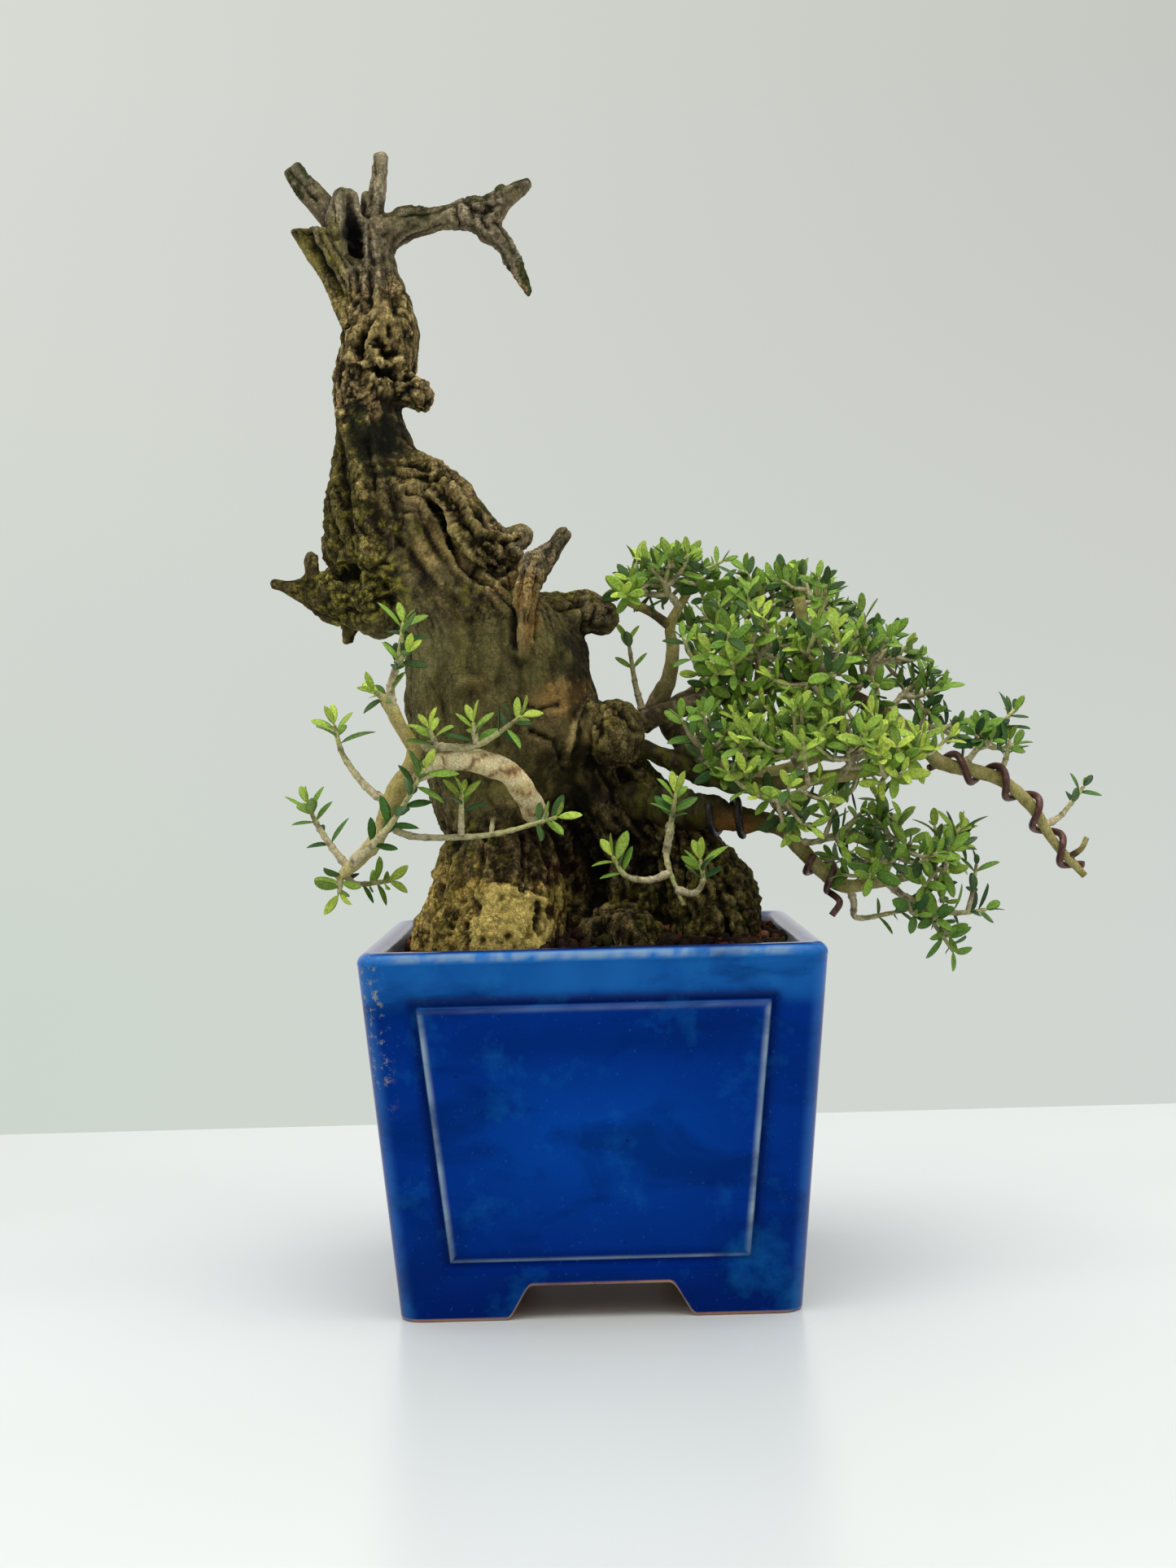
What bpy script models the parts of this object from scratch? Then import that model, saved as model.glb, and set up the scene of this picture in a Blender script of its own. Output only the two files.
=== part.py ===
"""Wild olive bonsai in a square glazed pot.

Z is up and the front faces -Y. Lists of points are in millimetres round the pot's axis,
with Z from the feet. MM and POT_AXIS_X bring them into the model's frame, in metres, whose
origin lies under the middle of the whole tree. Places in the right crown are laid out on a
front drawing, and drawn() moves each one to its depth along the line of sight.
"""
import math
import random

import bmesh
import bpy
import numpy as np
from mathutils import Vector, noise
from mathutils.bvhtree import BVHTree

MM = 0.001
POT_AXIS_X = -30.3
EYE_DISTANCE = 650.0
EYE_HEIGHT = 154.3
GAP = 0.35

POT_TOP_HALF = 65.0
POT_FOOT_HALF = 56.0
POT_HEIGHT = 103.0
POT_WALL = 7.5
POT_CORNER = 7.0
FOOT_HEIGHT = 9.5
FOOT_DEPTH = 10.0
FLOOR_TOP = 18.0
NOTCH_TOP_HALF = 20.0
NOTCH_FOOT_HALF = 25.5
PANEL_TOP_Z = 88.0
PANEL_TOP_HALF = 48.8
PANEL_FOOT_Z = 16.5
PANEL_FOOT_HALF = 41.6
# Groove round each panel: how far outside the panel's edge, and how deep behind the wall
PANEL_GROOVE = ((-0.7, 0.55), (-0.1, 1.5), (0.4, 1.5), (3.0, -2.5))
DRAIN_RADIUS = 10.0

SCREEN_HALF = 15.0
SCREEN_THICK = 1.2
SCREEN_HOLES = 3
SCREEN_HOLE = 5.6
SCREEN_PITCH = 8.4

SOIL_EDGE_Z = 96.5
SOIL_MOUND = 5.5
SOIL_GRAIN = 1.3
SOIL_RINGS = 6

TRUNK_VOXEL = 1.7
TRUNK_TRIANGLES = 2350
LUMP_LEAST = 1.5
LIMB_SIDES = 6
TWIG_SIDES = 3
TWIG_TIP = 0.65

LEAF_LENGTH = 10.0
LEAF_WIDTH = 4.0
LEAF_THICK = 0.8
LEAF_SINK = 0.2
LEAF_SPACING = 7.5
PAIR_STEP = 1.7
WIRE_SIDES = 5
TRIES = 24
TRY_STEP = 0.25

# Trunk outline: height, left, right, front, back
TRUNK_SECTIONS = (
    (88, -38, 34, -4, 24),
    (100, -42, 38, -6, 27),
    (115, -40, 37, -7, 27),
    (128, -41, 32, -11, 26),
    (138, -45, 24, -17, 25),
    (148, -47.5, 14, -22, 24),
    (158, -50.2, 8, -26, 23),
    (168, -53, 5, -27, 23),
    (178, -53.4, 2, -27, 22),
    (188, -53.2, 0.6, -26, 21),
    (197, -55, -5, -25, 20),
    (206, -66, -15, -24, 19),
    (214, -74, -22, -23, 18),
    (222, -76, -27, -22, 17),
    (230, -75.5, -33, -20.5, 15),
    (238, -74.8, -39, -19, 14),
    (246, -73.5, -47.5, -17, 13),
    (254, -73, -52, -15, 12),
    (262, -73, -53.5, -13, 10),
    (270, -73, -49.5, -12, 9),
    (278, -71.5, -48, -12, 9),
    (286, -69.5, -48, -11, 9),
    (294, -68.5, -50, -10, 8),
    (302, -68, -53.5, -9, 7),
    (310, -67, -55, -8, 6.5),
    (317, -66, -57, -6, 5),
)

# Swellings and stubs that melt into the trunk: (x, y, z, radius) along each
TRUNK_LUMPS = {
    "left_buttress": (
        (-25, -6, 144, 17.5), (-24.5, -8, 130, 16.6), (-26.6, -11, 119, 19),
        (-29, -12, 106, 21.7), (-31, -12, 97, 22.5), (-29, -10, 88, 19)),
    "right_buttress": (
        (4, 0, 151, 10), (18.5, 0, 138, 11), (29, 0, 124, 12.5), (35.4, -1, 112, 14.8),
        (36.5, -2, 98, 14.8), (35, -2, 88, 13)),
    "rear_buttress": ((-6, 16, 140, 16), (-4, 22, 115, 15), (-4, 25, 90, 15)),
    "cave_mound": ((8, -8, 90, 13), (8, -9, 100, 15), (7, -6, 106, 9)),
    "knot": ((-4, -8, 160, 11), (5, -15, 161.5, 10.5), (8, -20, 162, 9.5)),
    "right_stub": ((-16, -2, 195, 9.5), (-4, -3, 197.6, 7.6), (3, -3, 198, 5.4), (6.9, -3, 197.2, 4.6)),
    "shelf": (
        (-50, -10, 242, 5.5), (-43, -12, 236, 6.6), (-36.9, -14, 229.6, 7.5), (-30, -15, 217.5, 7.6),
        (-26, -14, 210.5, 5.5)),
    "shelf_arm": ((-30, -13, 218.6, 5), (-24, -13, 219, 4.1), (-19.8, -13, 220.1, 3.3),
                  (-17.8, -13, 220.9, 2.7)),
    "shelf_chin": ((-27, -14, 214, 5), (-22, -14, 214.8, 4), (-20, -14, 215.6, 2.8)),
    "burl": ((-60, -10, 204.5, 12), (-66, -7, 205.5, 10), (-75, -5, 205.3, 7.6),
             (-84, -4, 207.2, 4.3), (-93, -3, 210, 2.1)),
    "left_spike_up": ((-81, -4, 209, 2), (-81.2, -4, 217, 1.4)),
    "left_spike_down": ((-68, -4, 201, 2.4), (-70, -4, 195.5, 1.9), (-71.3, -4, 191.2, 1.5)),
    "neck_knob": ((-54, -5, 267, 6.2), (-47.8, -7, 264.8, 4.4), (-44.2, -8, 263, 2.8)),
    "neck_drop": ((-49, -7, 262.5, 3), (-45.2, -8, 260.4, 2)),
    "jin": ((-22, -13, 202, 5), (-14, -16, 210, 3.8), (-8.8, -16, 216.5, 3.2), (-5.3, -15, 221.6, 2.7)),
    "peeled_strip": ((-14, -21, 213, 2.4), (-16, -24.5, 205, 3.2), (-17, -26, 195, 2.8),
                     (-18, -26.5, 185, 2)),
    "crown_stub": ((-60, 0, 314, 3.4), (-59.2, 0, 323, 2.5), (-57.9, 0, 331, 2.3),
                   (-57.3, 0, 338.0, 2.3)),
    "stub_flake": ((-61.5, 0, 318, 2), (-62.3, 0, 325.5, 1.2)),
    "crown_left": ((-68, 2, 315, 4.4), (-75, 2, 323, 3.8), (-80.8, 1, 329, 3.5),
                   (-84.6, 1, 333.8, 2.6)),
    "crown_fork": ((-80.6, 1, 330.5, 2), (-82.6, 1, 335.8, 1.2)),
    "hollow_stump": ((-68, -3, 306, 5.6), (-68.2, -4, 316, 5.6), (-68.2, -4, 324.4, 3.9)),
    "splinter": ((-67, -3, 286, 3), (-70, -4, 294, 2.8), (-73.4, -4, 301.5, 2.7),
                 (-78, -4, 309, 2.8), (-82.2, -4, 315.5, 3)),
    "splinter_ridge": ((-66, -6, 286, 4), (-67, -7, 294, 3.2), (-69.6, -7, 302, 3.1),
                       (-74, -7, 309, 3), (-76.4, -6, 315, 2.8)),
    "crown_right": (
        (-60, 0, 312, 6), (-51, 0, 316, 4.3), (-44, 0, 317.4, 3.5), (-38, -1, 318.4, 3.6),
        (-31, -1, 319, 5), (-26, -1, 319, 5), (-21.3, -1, 323, 3.3),
        (-16.6, -1, 325.8, 2.6), (-13, -1, 328.2, 1.6)),
    "crown_nub": ((-53, 0, 319.3, 1.8), (-47, 0, 320.9, 1.5), (-45, 0, 322, 1.1)),
    "crown_bump": ((-22.6, 0, 323.6, 2.2), (-21.6, 0, 327, 1.5)),
    "crown_spur": ((-26, -1, 315, 4), (-21.8, -2, 310.3, 2.7), (-18, -2, 303.3, 2.1),
                   (-15.4, -2, 298, 1.6), (-14, -2, 294, 0.9)),
}

# Furrows (negative) and ridges (positive) on the front: radius, depth, then (x, z) points
TRUNK_FURROWS = (
    (2.6, -4.0, ((-50, 232), (-42, 227), (-38, 217), (-31, 208.5), (-27, 206))),
    (2.2, -2.2, ((-53, 240), (-44, 237.5), (-37, 238))),
    (2.2, -1.6, ((-35, 223), (-27, 218.5), (-20, 219))),
    (3.0, -4.5, ((-66, 321), (-65.3, 314), (-65, 307))),
    (2.0, -2.4, ((-80, 314), (-74, 304), (-69.5, 293))),
    (2.0, -3.0, ((-62.5, 283), (-65, 276))),
    (2.0, -2.5, ((-58, 280), (-56, 275))),
    (4.0, -2.6, ((-60, 259), (-58, 250), (-56, 244))),
    (3.0, 2.0, ((-70, 258), (-66.5, 245), (-63.5, 233))),
    (3.0, -1.6, ((-60, 226), (-58, 214), (-50, 202))),
    (3.0, -1.6, ((-55, 231), (-52, 220), (-45, 209), (-38, 201))),
    (2.5, 1.8, ((1, 172), (-5, 160), (-6, 153))),
    (6.0, -4.0, ((-6, 150), (-4, 135), (-2, 118), (0, 106))),
    (4.0, -2.6, ((12, 150), (14, 135), (16, 120))),
)

# Woody limbs: (x, y, z, radius) along each, of one growth with the trunk
LEFT_LIMBS = {
    "arch": (
        (-15, -12, 139, 3), (-15.5, -24, 139, 3.6), (-17, -35, 143.5, 3.5), (-22, -41, 151, 3.4),
        (-30, -44, 154.5, 3.3), (-37, -45, 155.5, 3.2), (-44, -45, 153.5, 2.9),
        (-50, -45, 150, 2.2)),
    "left_stem": (
        (-48, -45, 160, 2.2), (-49.5, -45, 153.5, 2.8), (-53, -45, 148, 3), (-56, -45, 143, 2.6),
        (-58, -45, 137, 2.3), (-61, -45, 132, 2.3), (-66, -45, 127, 2), (-71, -45, 122.5, 1.3)),
    "left_rise": ((-48, -45, 158, 2), (-52, -46, 165, 1.9), (-54.5, -46, 170, 1.9),
                  (-56.5, -46, 173.5, 1.9)),
}
DRAWN_LIMBS = {
    "upper": (
        (-8, 8, 173, 6), (5, 8, 167, 4.3), (17, 8, 165.5, 3.4), (22, 7, 172, 3),
        (25.3, 6, 179, 2.4), (26.6, 5, 187, 2), (26.4, 4, 195, 1.6), (33, 6, 206, 1.1)),
    "upper_left": ((26, 4, 194, 1.6), (19, 2, 199, 1.4), (12.5, 0, 202, 1.3)),
    "rear": (
        (17, 8, 165.5, 3.6), (29, 15, 171, 2.7), (42, 22, 180, 2.2), (55, 25, 186, 1.9),
        (67, 24, 190, 1.6), (79, 20, 188, 1.1)),
    "long": (
        (17, 8, 166, 3.6), (30, 2, 169.5, 3), (45, -1, 173.6, 2.6), (62, -4, 175.6, 2.3),
        (74, -6, 174.5, 2.3), (82, -7, 170.5, 2.2), (92, -8, 164.5, 2.2), (100, -8, 157.5, 2.2),
        (106, -8, 151, 2.2), (118, -8, 147.5, 2.0), (126, -8, 144, 1.9), (134, -8, 136, 1.7),
        (140, -8, 126, 1.45), (149, -8, 115.5, 1.1)),
    "upright": ((66, -5, 176, 2.2), (67, -3, 186, 2), (65, -2, 201.5, 1.8)),
    "bare_tip": ((144, -8, 121, 1.1), (148, -9, 123.5, 0.9), (150, -9, 127, 0.8)),
    "middle": (
        (2, 3, 160, 4.4), (16, -2, 157.5, 3), (26, -6, 153, 3.1), (35, -10, 148.5, 2.7),
        (46, -13, 145.5, 2.4),
        (60, -17, 146, 2.2), (75, -20, 147.5, 2), (88, -21, 149.5, 1.7), (102, -21, 154.5, 1)),
    "low_rear": (
        (23, 11, 168, 3.4), (28, 15, 160, 3.5), (33.5, 20, 153, 3), (45, 27, 149, 2.1),
        (59, 31, 150, 1.7), (73, 30, 154, 1.1)),
    "lower": (
        (8, -6, 144, 5), (20, -9, 140, 5.6), (30, -12, 138.6, 5.8), (38.5, -14, 137.2, 4.9),
        (47, -15, 135, 3.4), (57, -15, 133.2, 2.7), (63.5, -15, 126, 2.3), (70, -15, 119, 2.2),
        (76, -15, 114.5, 2.1),
        (86, -15, 115, 1.7), (96, -15, 116.5, 1.1)),
}

# Leafy stems. Each twig is (points, root radius, where the leaves start, from 0 to 1)
LEFT_SPRAYS = {
    "spray_left_top": (
        (((-54, -46, 169), (-54.5, -46.5, 176), (-52, -47, 184), (-50.5, -47, 194)), 1.6, 0.42),
        (((-55.5, -46, 172.5), (-59, -47.5, 175)), 1.3, 0.5),
        (((-52.6, -47, 182), (-49.5, -49, 185.5)), 0.9, 0.4)),
    "spray_left_outer": (
        (((-56.5, -45, 144), (-62, -44, 148), (-68.5, -43, 157), (-71, -43, 166)), 1.3, 0.93),),
    "spray_left_inner": (
        (((-48, -45, 160), (-41, -47, 159), (-30, -48, 159.5), (-18, -48, 167)), 1.6, 0.72),
        (((-31, -48, 159.5), (-31.5, -48.5, 165.5)), 1.1, 0.4),
        (((-42, -47, 159), (-44, -49, 164.5)), 0.9, 0.5)),
    "spray_left_front": (
        (((-67, -45, 126.5), (-63, -50.5, 130), (-54, -53, 139), (-45, -53, 153)), 1.5, 0.28),),
    "spray_left_low": (
        (((-57, -45, 138), (-49, -43, 134), (-28, -45, 134), (-9, -48, 138.5)), 1.2, 0.95),
        (((-36, -44.5, 134), (-35.5, -45, 146)), 1.0, 0.35),
        (((-27.5, -45, 134), (-27, -45, 138.5)), 0.7, 2.0)),
    "spray_left_tip": (
        (((-67.5, -45, 125.5), (-72, -44, 131), (-76.5, -43, 138), (-79, -43, 144)), 1.2, 0.35),),
    "spray_left_foot": (
        (((-69, -45, 124), (-66, -42, 121), (-57, -41, 121.5)), 1.1, 0.4),
        (((-70, -45, 123.5), (-70.5, -46.5, 118.5)), 1.0, 0.4)),
}
# Right sprays: limb, root, fork, then the tips that fan out from the fork
DRAWN_SPRAYS = {
    "spray_crown_a": ("upper_left", (15, 1, 201), (15, 0, 206),
                      ((14, -5, 208.5), (12, 4, 204.5), (17.5, 6, 210))),
    "spray_crown_b": ("upper", (29, 5, 199.5), (25, 1, 206),
                      ((27, -3, 216), (22, 9, 214), (31, 2, 212.5))),
    "spray_crown_c": ("upper", (32, 6, 204), (34, 9, 208), ((37, 6, 208), (30, 15, 210))),
    "spray_crown_twig": ("upper", (17, 8, 167), (14.8, 6, 178), ((13.3, 5, 190),)),
    "spray_rear_a": ("rear", (40, 21, 179), (43, 22, 190),
                     ((45, 16, 201), (49, 24, 205), (36, 28, 198))),
    "spray_rear_b": ("rear", (53, 25, 185), (55, 24, 196),
                     ((51, 18, 206.5), (58, 22, 206.5), (57, 33, 201))),
    "spray_rear_c": ("rear", (69, 24, 190), (71, 22, 197),
                     ((72, 16, 205), (76, 24, 200), (67, 30, 204))),
    "spray_rear_d": ("rear", (77, 21, 188), (82, 21, 189), ((85, 15, 193), (87, 26, 188))),
    "spray_rear_e": ("rear", (52, 25, 184), (56, 33, 184), ((64, 40, 186), (53, 43, 182))),
    "spray_long_a": ("long", (40, 0, 173.5), (41, -6, 182),
                     ((34, -9, 190), (44, -12, 191), (34, -9, 179), (47, -13, 176))),
    "spray_long_b": ("long", (52, -2, 176), (52, -9, 184),
                     ((50, -15, 189), (58, -12, 191), (45, 2, 193), (57, -16, 177))),
    "spray_long_c": ("long", (70, -5, 176), (70, -13, 181),
                     ((65, -16, 186), (75, -12, 187), (66, -19, 173.5), (77, -18, 178))),
    "spray_long_d": ("upright", (66, -3, 193), (71, -1, 197),
                     ((73, -4, 204), (79, 2, 196), (66, 4, 209))),
    "spray_long_e": ("long", (80, -7, 172), (86, -5, 180),
                     ((84, -10, 186), (92, 0, 187), (97, -6, 186), (88, -15, 174))),
    "spray_long_f": ("long", (90, -8, 166), (95, -5, 171),
                     ((103, -3, 178), (99, 4, 176), (108, -8, 174))),
    "spray_long_g": ("long", (94.5, -8, 163), (103, -6, 161.5),
                     ((104, -3, 166), (112, -6, 162.5))),
    "spray_long_h": ("long", (112, -8, 149), (118, -7, 155), ((129, -5, 166), (122, -12, 157))),
    "spray_long_i": ("long", (123, -8, 146.5), (126, -5, 151), ((127.5, -3, 157),)),
    "spray_long_j": ("long", (136.8, -8, 131), (143, -5, 134.5), ((149.5, -4, 142.5),)),
    "spray_middle_a": ("middle", (33, -9, 149.5), (37, -15, 154),
                       ((41, -21, 158), (32, -10, 161), (37, -18, 167), (41, -23, 148))),
    "spray_middle_b": ("middle", (48, -14, 145), (50, -21, 153),
                       ((51, -25, 162), (57, -20, 165), (45, -20, 167))),
    "spray_middle_c": ("middle", (62, -17, 146), (64, -23, 154),
                       ((69, -22, 165), (62, -29, 156), (73, -27, 158), (62, -19, 168))),
    "spray_middle_d": ("middle", (52, -15, 145), (55, -25, 141),
                       ((51, -31, 142), (61, -30, 140))),
    "spray_middle_e": ("middle", (76, -20, 147.5), (79, -27, 152),
                       ((77, -30, 159), (86, -31, 156), (84, -23, 163), (76, -22, 168))),
    "spray_middle_f": ("middle", (90, -21, 150), (93, -26, 153),
                       ((93, -28, 160), (98, -30, 152), (88, -30, 145))),
    "spray_low_rear_a": ("low_rear", (46, 27, 149), (50, 33, 156),
                         ((55, 34, 165), (44, 39, 159))),
    "spray_low_rear_b": ("low_rear", (60, 31, 150), (66, 32, 156),
                         ((76, 36, 162), (67, 27, 166))),
    "spray_low_rear_c": ("low_rear", (71, 30, 153.5), (78, 27, 153),
                         ((88, 24, 158), (84, 33, 149))),
    "spray_lower_a": ("lower", (61, -15, 128), (69, -17, 128),
                      ((80, -22, 130), (82, -12, 136))),
    "spray_lower_b": ("lower", (86, -15, 115), (91, -17, 121),
                      ((97, -21, 127), (94, -14, 134), (85, -25, 122))),
    "spray_lower_c": ("lower", (94, -15, 116), (101, -15, 121),
                      ((110, -17, 124), (112, -10, 131), (108, -24, 118))),
    "spray_lower_d": ("lower", (89, -15, 115.3), (99, -16, 108),
                      ((109, -18, 93.5), (119, -13, 106))),
    "spray_lower_e": ("lower", (78, -15, 114.4), (80.5, -15, 104.5), ((95, -10, 106.5),)),
    "spray_lower_f": ("lower", (82, -15, 114.7), (85, -5, 121), ((92, 2, 127), (79, 6, 124))),
}
# The front sprig with its two curled hooks, rooted on the lower limb
HOOK_TWIGS = (
    (((24, -11, 135), (23.5, -20, 132), (22, -30, 127), (23, -33, 121), (26.5, -34, 112)), 1.6, 2.0),
    (((22, -30, 127), (23, -33, 133), (25, -34, 144)), 1.25, 0.55),
    (((23, -33, 121.5), (17, -34, 119.5), (10, -34, 121), (6.5, -34, 126.5)), 1.5, 0.95),
    (((24.5, -33.5, 116.5), (29.5, -35, 115.5), (32, -35, 119), (31.5, -35, 125)), 1.45, 0.9),
)

# Training wire coils: limb, share of the limb where each starts and ends, turns, wire radius,
# phase, how far it stands off the bark, and a loose tail on the front drawing
WIRE_COILS = {
    "wire_long_limb": ("long", 0.625, 0.985, 5.2, 1.1, 3.8, 0.3, ()),
    "wire_long_loop": ("long", 0.17, 0.215, 1.9, 0.8, 1.3, 2.6, ()),
    "wire_lower_limb": ("lower", 0.31, 0.42, 1.3, 1.1, 1.2, 0.1, ()),
    "wire_lower_spur": ("lower", 0.66, 0.77, 1.35, 1.0, 1.2, 0.3, ((75, -19, 109.5), (72.5, -19, 105.5))),
}


def drawn(point):
    """A place of the front drawing, moved to its own depth along the line of sight."""
    x, y, z = point[:3]
    reach = (EYE_DISTANCE + y) / EYE_DISTANCE
    return Vector((x * reach, y, EYE_HEIGHT + (z - EYE_HEIGHT) * reach))


def drawn_row(row):
    """drawn() for a point that carries a radius as its fourth number."""
    place = drawn(row)
    return (place.x, place.y, place.z, row[3])


def material(name, rgb, roughness, metallic=0.0):
    """A Principled finish."""
    mat = bpy.data.materials.new(name)
    mat.use_nodes = True
    shader = mat.node_tree.nodes["Principled BSDF"]
    shader.inputs["Base Color"].default_value = (*rgb, 1.0)
    shader.inputs["Roughness"].default_value = roughness
    shader.inputs["Metallic"].default_value = metallic
    mat.diffuse_color = (*rgb, 1.0)
    return mat


def new_object(name, verts, faces, mat=None):
    """An object from points in millimetres round the pot's axis."""
    mesh = bpy.data.meshes.new(name)
    places = [((v[0] + POT_AXIS_X) * MM, v[1] * MM, v[2] * MM) for v in verts]
    mesh.from_pydata(places, [], faces)
    mesh.update()
    if mat:
        mesh.materials.append(mat)
    obj = bpy.data.objects.new(name, mesh)
    bpy.context.scene.collection.objects.link(obj)
    return obj


def remove(obj):
    """Delete an object and its mesh."""
    mesh = obj.data
    bpy.data.objects.remove(obj)
    bpy.data.meshes.remove(mesh)


def bake(obj):
    """Put the evaluated mesh in place of the object's own and clear its modifiers."""
    graph = bpy.context.evaluated_depsgraph_get()
    result = bpy.data.meshes.new_from_object(obj.evaluated_get(graph))
    old = obj.data
    obj.modifiers.clear()
    obj.data = result
    result.name = obj.name
    bpy.data.meshes.remove(old)
    return obj


def cut(obj, cutter, solver="MANIFOLD", keep_cutter=False):
    """Take the cutter out of the object."""
    mod = obj.modifiers.new("cut", "BOOLEAN")
    mod.operation = "DIFFERENCE"
    mod.solver = solver
    mod.object = cutter
    bake(obj)
    if not keep_cutter:
        remove(cutter)
    return obj


def join_all(obj, others):
    """Union the others into the object through one collection, then remove them."""
    if not others:
        return obj
    group = bpy.data.collections.new("repeats")
    bpy.context.scene.collection.children.link(group)
    for other in others:
        group.objects.link(other)
    mod = obj.modifiers.new("join", "BOOLEAN")
    mod.operation = "UNION"
    mod.operand_type = "COLLECTION"
    mod.solver = "MANIFOLD"
    mod.collection = group
    bake(obj)
    for other in others:
        remove(other)
    bpy.data.collections.remove(group)
    return obj


def keep_largest(obj):
    """Drop every loose scrap but the largest body."""
    bm = bmesh.new()
    bm.from_mesh(obj.data)
    unseen = set(bm.verts)
    bodies = []
    while unseen:
        stack = [unseen.pop()]
        body = []
        while stack:
            vert = stack.pop()
            body.append(vert)
            for edge in vert.link_edges:
                other = edge.other_vert(vert)
                if other in unseen:
                    unseen.remove(other)
                    stack.append(other)
        bodies.append(body)
    bodies.sort(key=len)
    for body in bodies[:-1]:
        bmesh.ops.delete(bm, geom=body, context="VERTS")
    bmesh.ops.triangulate(bm, faces=bm.faces[:])
    bm.to_mesh(obj.data)
    bm.free()
    return obj


def spline(rows, per_span):
    """Catmull-Rom curve through rows of numbers, with per_span steps between rows."""
    rows = np.array(rows, dtype=float)
    padded = np.vstack((2 * rows[0] - rows[1], rows, 2 * rows[-1] - rows[-2]))
    out = []
    for i in range(1, len(padded) - 2):
        a, b, c, d = padded[i - 1:i + 3]
        for step in range(per_span):
            t = step / per_span
            out.append(0.5 * (2 * b + (c - a) * t + (2 * a - 5 * b + 4 * c - d) * t ** 2
                              + (3 * b - a - 3 * c + d) * t ** 3))
    out.append(rows[-1])
    return np.array(out)


def tube_mesh(rows, sides, extra=0.0):
    """Closed tube of the given sides along rows of (x, y, z, radius)."""
    places = [Vector(row[:3]) for row in rows]
    ahead = (places[1] - places[0]).normalized()
    across = ahead.orthogonal().normalized()
    places[0] -= ahead * extra
    places[-1] += (places[-1] - places[-2]).normalized() * extra
    verts = []
    for i, place in enumerate(places):
        before = places[max(i - 1, 0)]
        after = places[min(i + 1, len(places) - 1)]
        ahead = (after - before).normalized()
        across = (across - ahead * across.dot(ahead)).normalized()
        other = ahead.cross(across)
        radius = rows[i][3] + extra
        for k in range(sides):
            angle = 2 * math.pi * k / sides
            verts.append(place + (across * math.cos(angle) + other * math.sin(angle)) * radius)
    last = (len(places) - 1) * sides
    faces = [tuple(range(sides - 1, -1, -1)), tuple(range(last, last + sides))]
    for i in range(len(places) - 1):
        for k in range(sides):
            a = i * sides + k
            b = i * sides + (k + 1) % sides
            faces.append((a, b, b + sides, a + sides))
    return verts, faces


def rings_mesh(rings):
    """Closed skin over rings that all have the same number of points, bottom to top."""
    count = len(rings[0])
    verts = [place for ring in rings for place in ring]
    last = (len(rings) - 1) * count
    faces = [tuple(range(count - 1, -1, -1)), tuple(range(last, last + count))]
    for i in range(len(rings) - 1):
        for k in range(count):
            a = i * count + k
            b = i * count + (k + 1) % count
            faces.append((a, b, b + count, a + count))
    return verts, faces


def rounded_square(half, corner, z, steps=4):
    """Ring round a square with rounded corners, counter-clockwise from above."""
    ring = []
    for quarter in range(4):
        start = quarter * math.pi / 2
        turn = start + math.pi / 4
        centre_x = math.copysign(half - corner, math.cos(turn))
        centre_y = math.copysign(half - corner, math.sin(turn))
        for step in range(steps + 1):
            angle = start + step * math.pi / 2 / steps
            ring.append((centre_x + corner * math.cos(angle), centre_y + corner * math.sin(angle), z))
    return ring


def prism(name, outline_low, outline_high):
    """Closed block between two outlines of equal length."""
    verts, faces = rings_mesh([outline_low, outline_high])
    return new_object(name, verts, faces)


def turned(points, quarter):
    """Points turned about Z by quarter turns."""
    cosine = round(math.cos(quarter * math.pi / 2))
    sine = round(math.sin(quarter * math.pi / 2))
    return [(x * cosine - y * sine, x * sine + y * cosine, z) for x, y, z in points]


def pot_half(z):
    """Half width of the pot's outside at height z."""
    return POT_FOOT_HALF + (POT_TOP_HALF - POT_FOOT_HALF) * z / POT_HEIGHT


def panel_ring(spread, depth):
    """Corners of the front panel's edge moved outwards by spread, at a depth behind the wall."""
    ring = []
    for half, z, side in ((PANEL_FOOT_HALF, PANEL_FOOT_Z, -1), (PANEL_FOOT_HALF, PANEL_FOOT_Z, 1),
                          (PANEL_TOP_HALF, PANEL_TOP_Z, 1), (PANEL_TOP_HALF, PANEL_TOP_Z, -1)):
        height = z + (spread if z == PANEL_TOP_Z else -spread)
        ring.append((side * (half + spread), depth - pot_half(height), height))
    return ring


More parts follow.
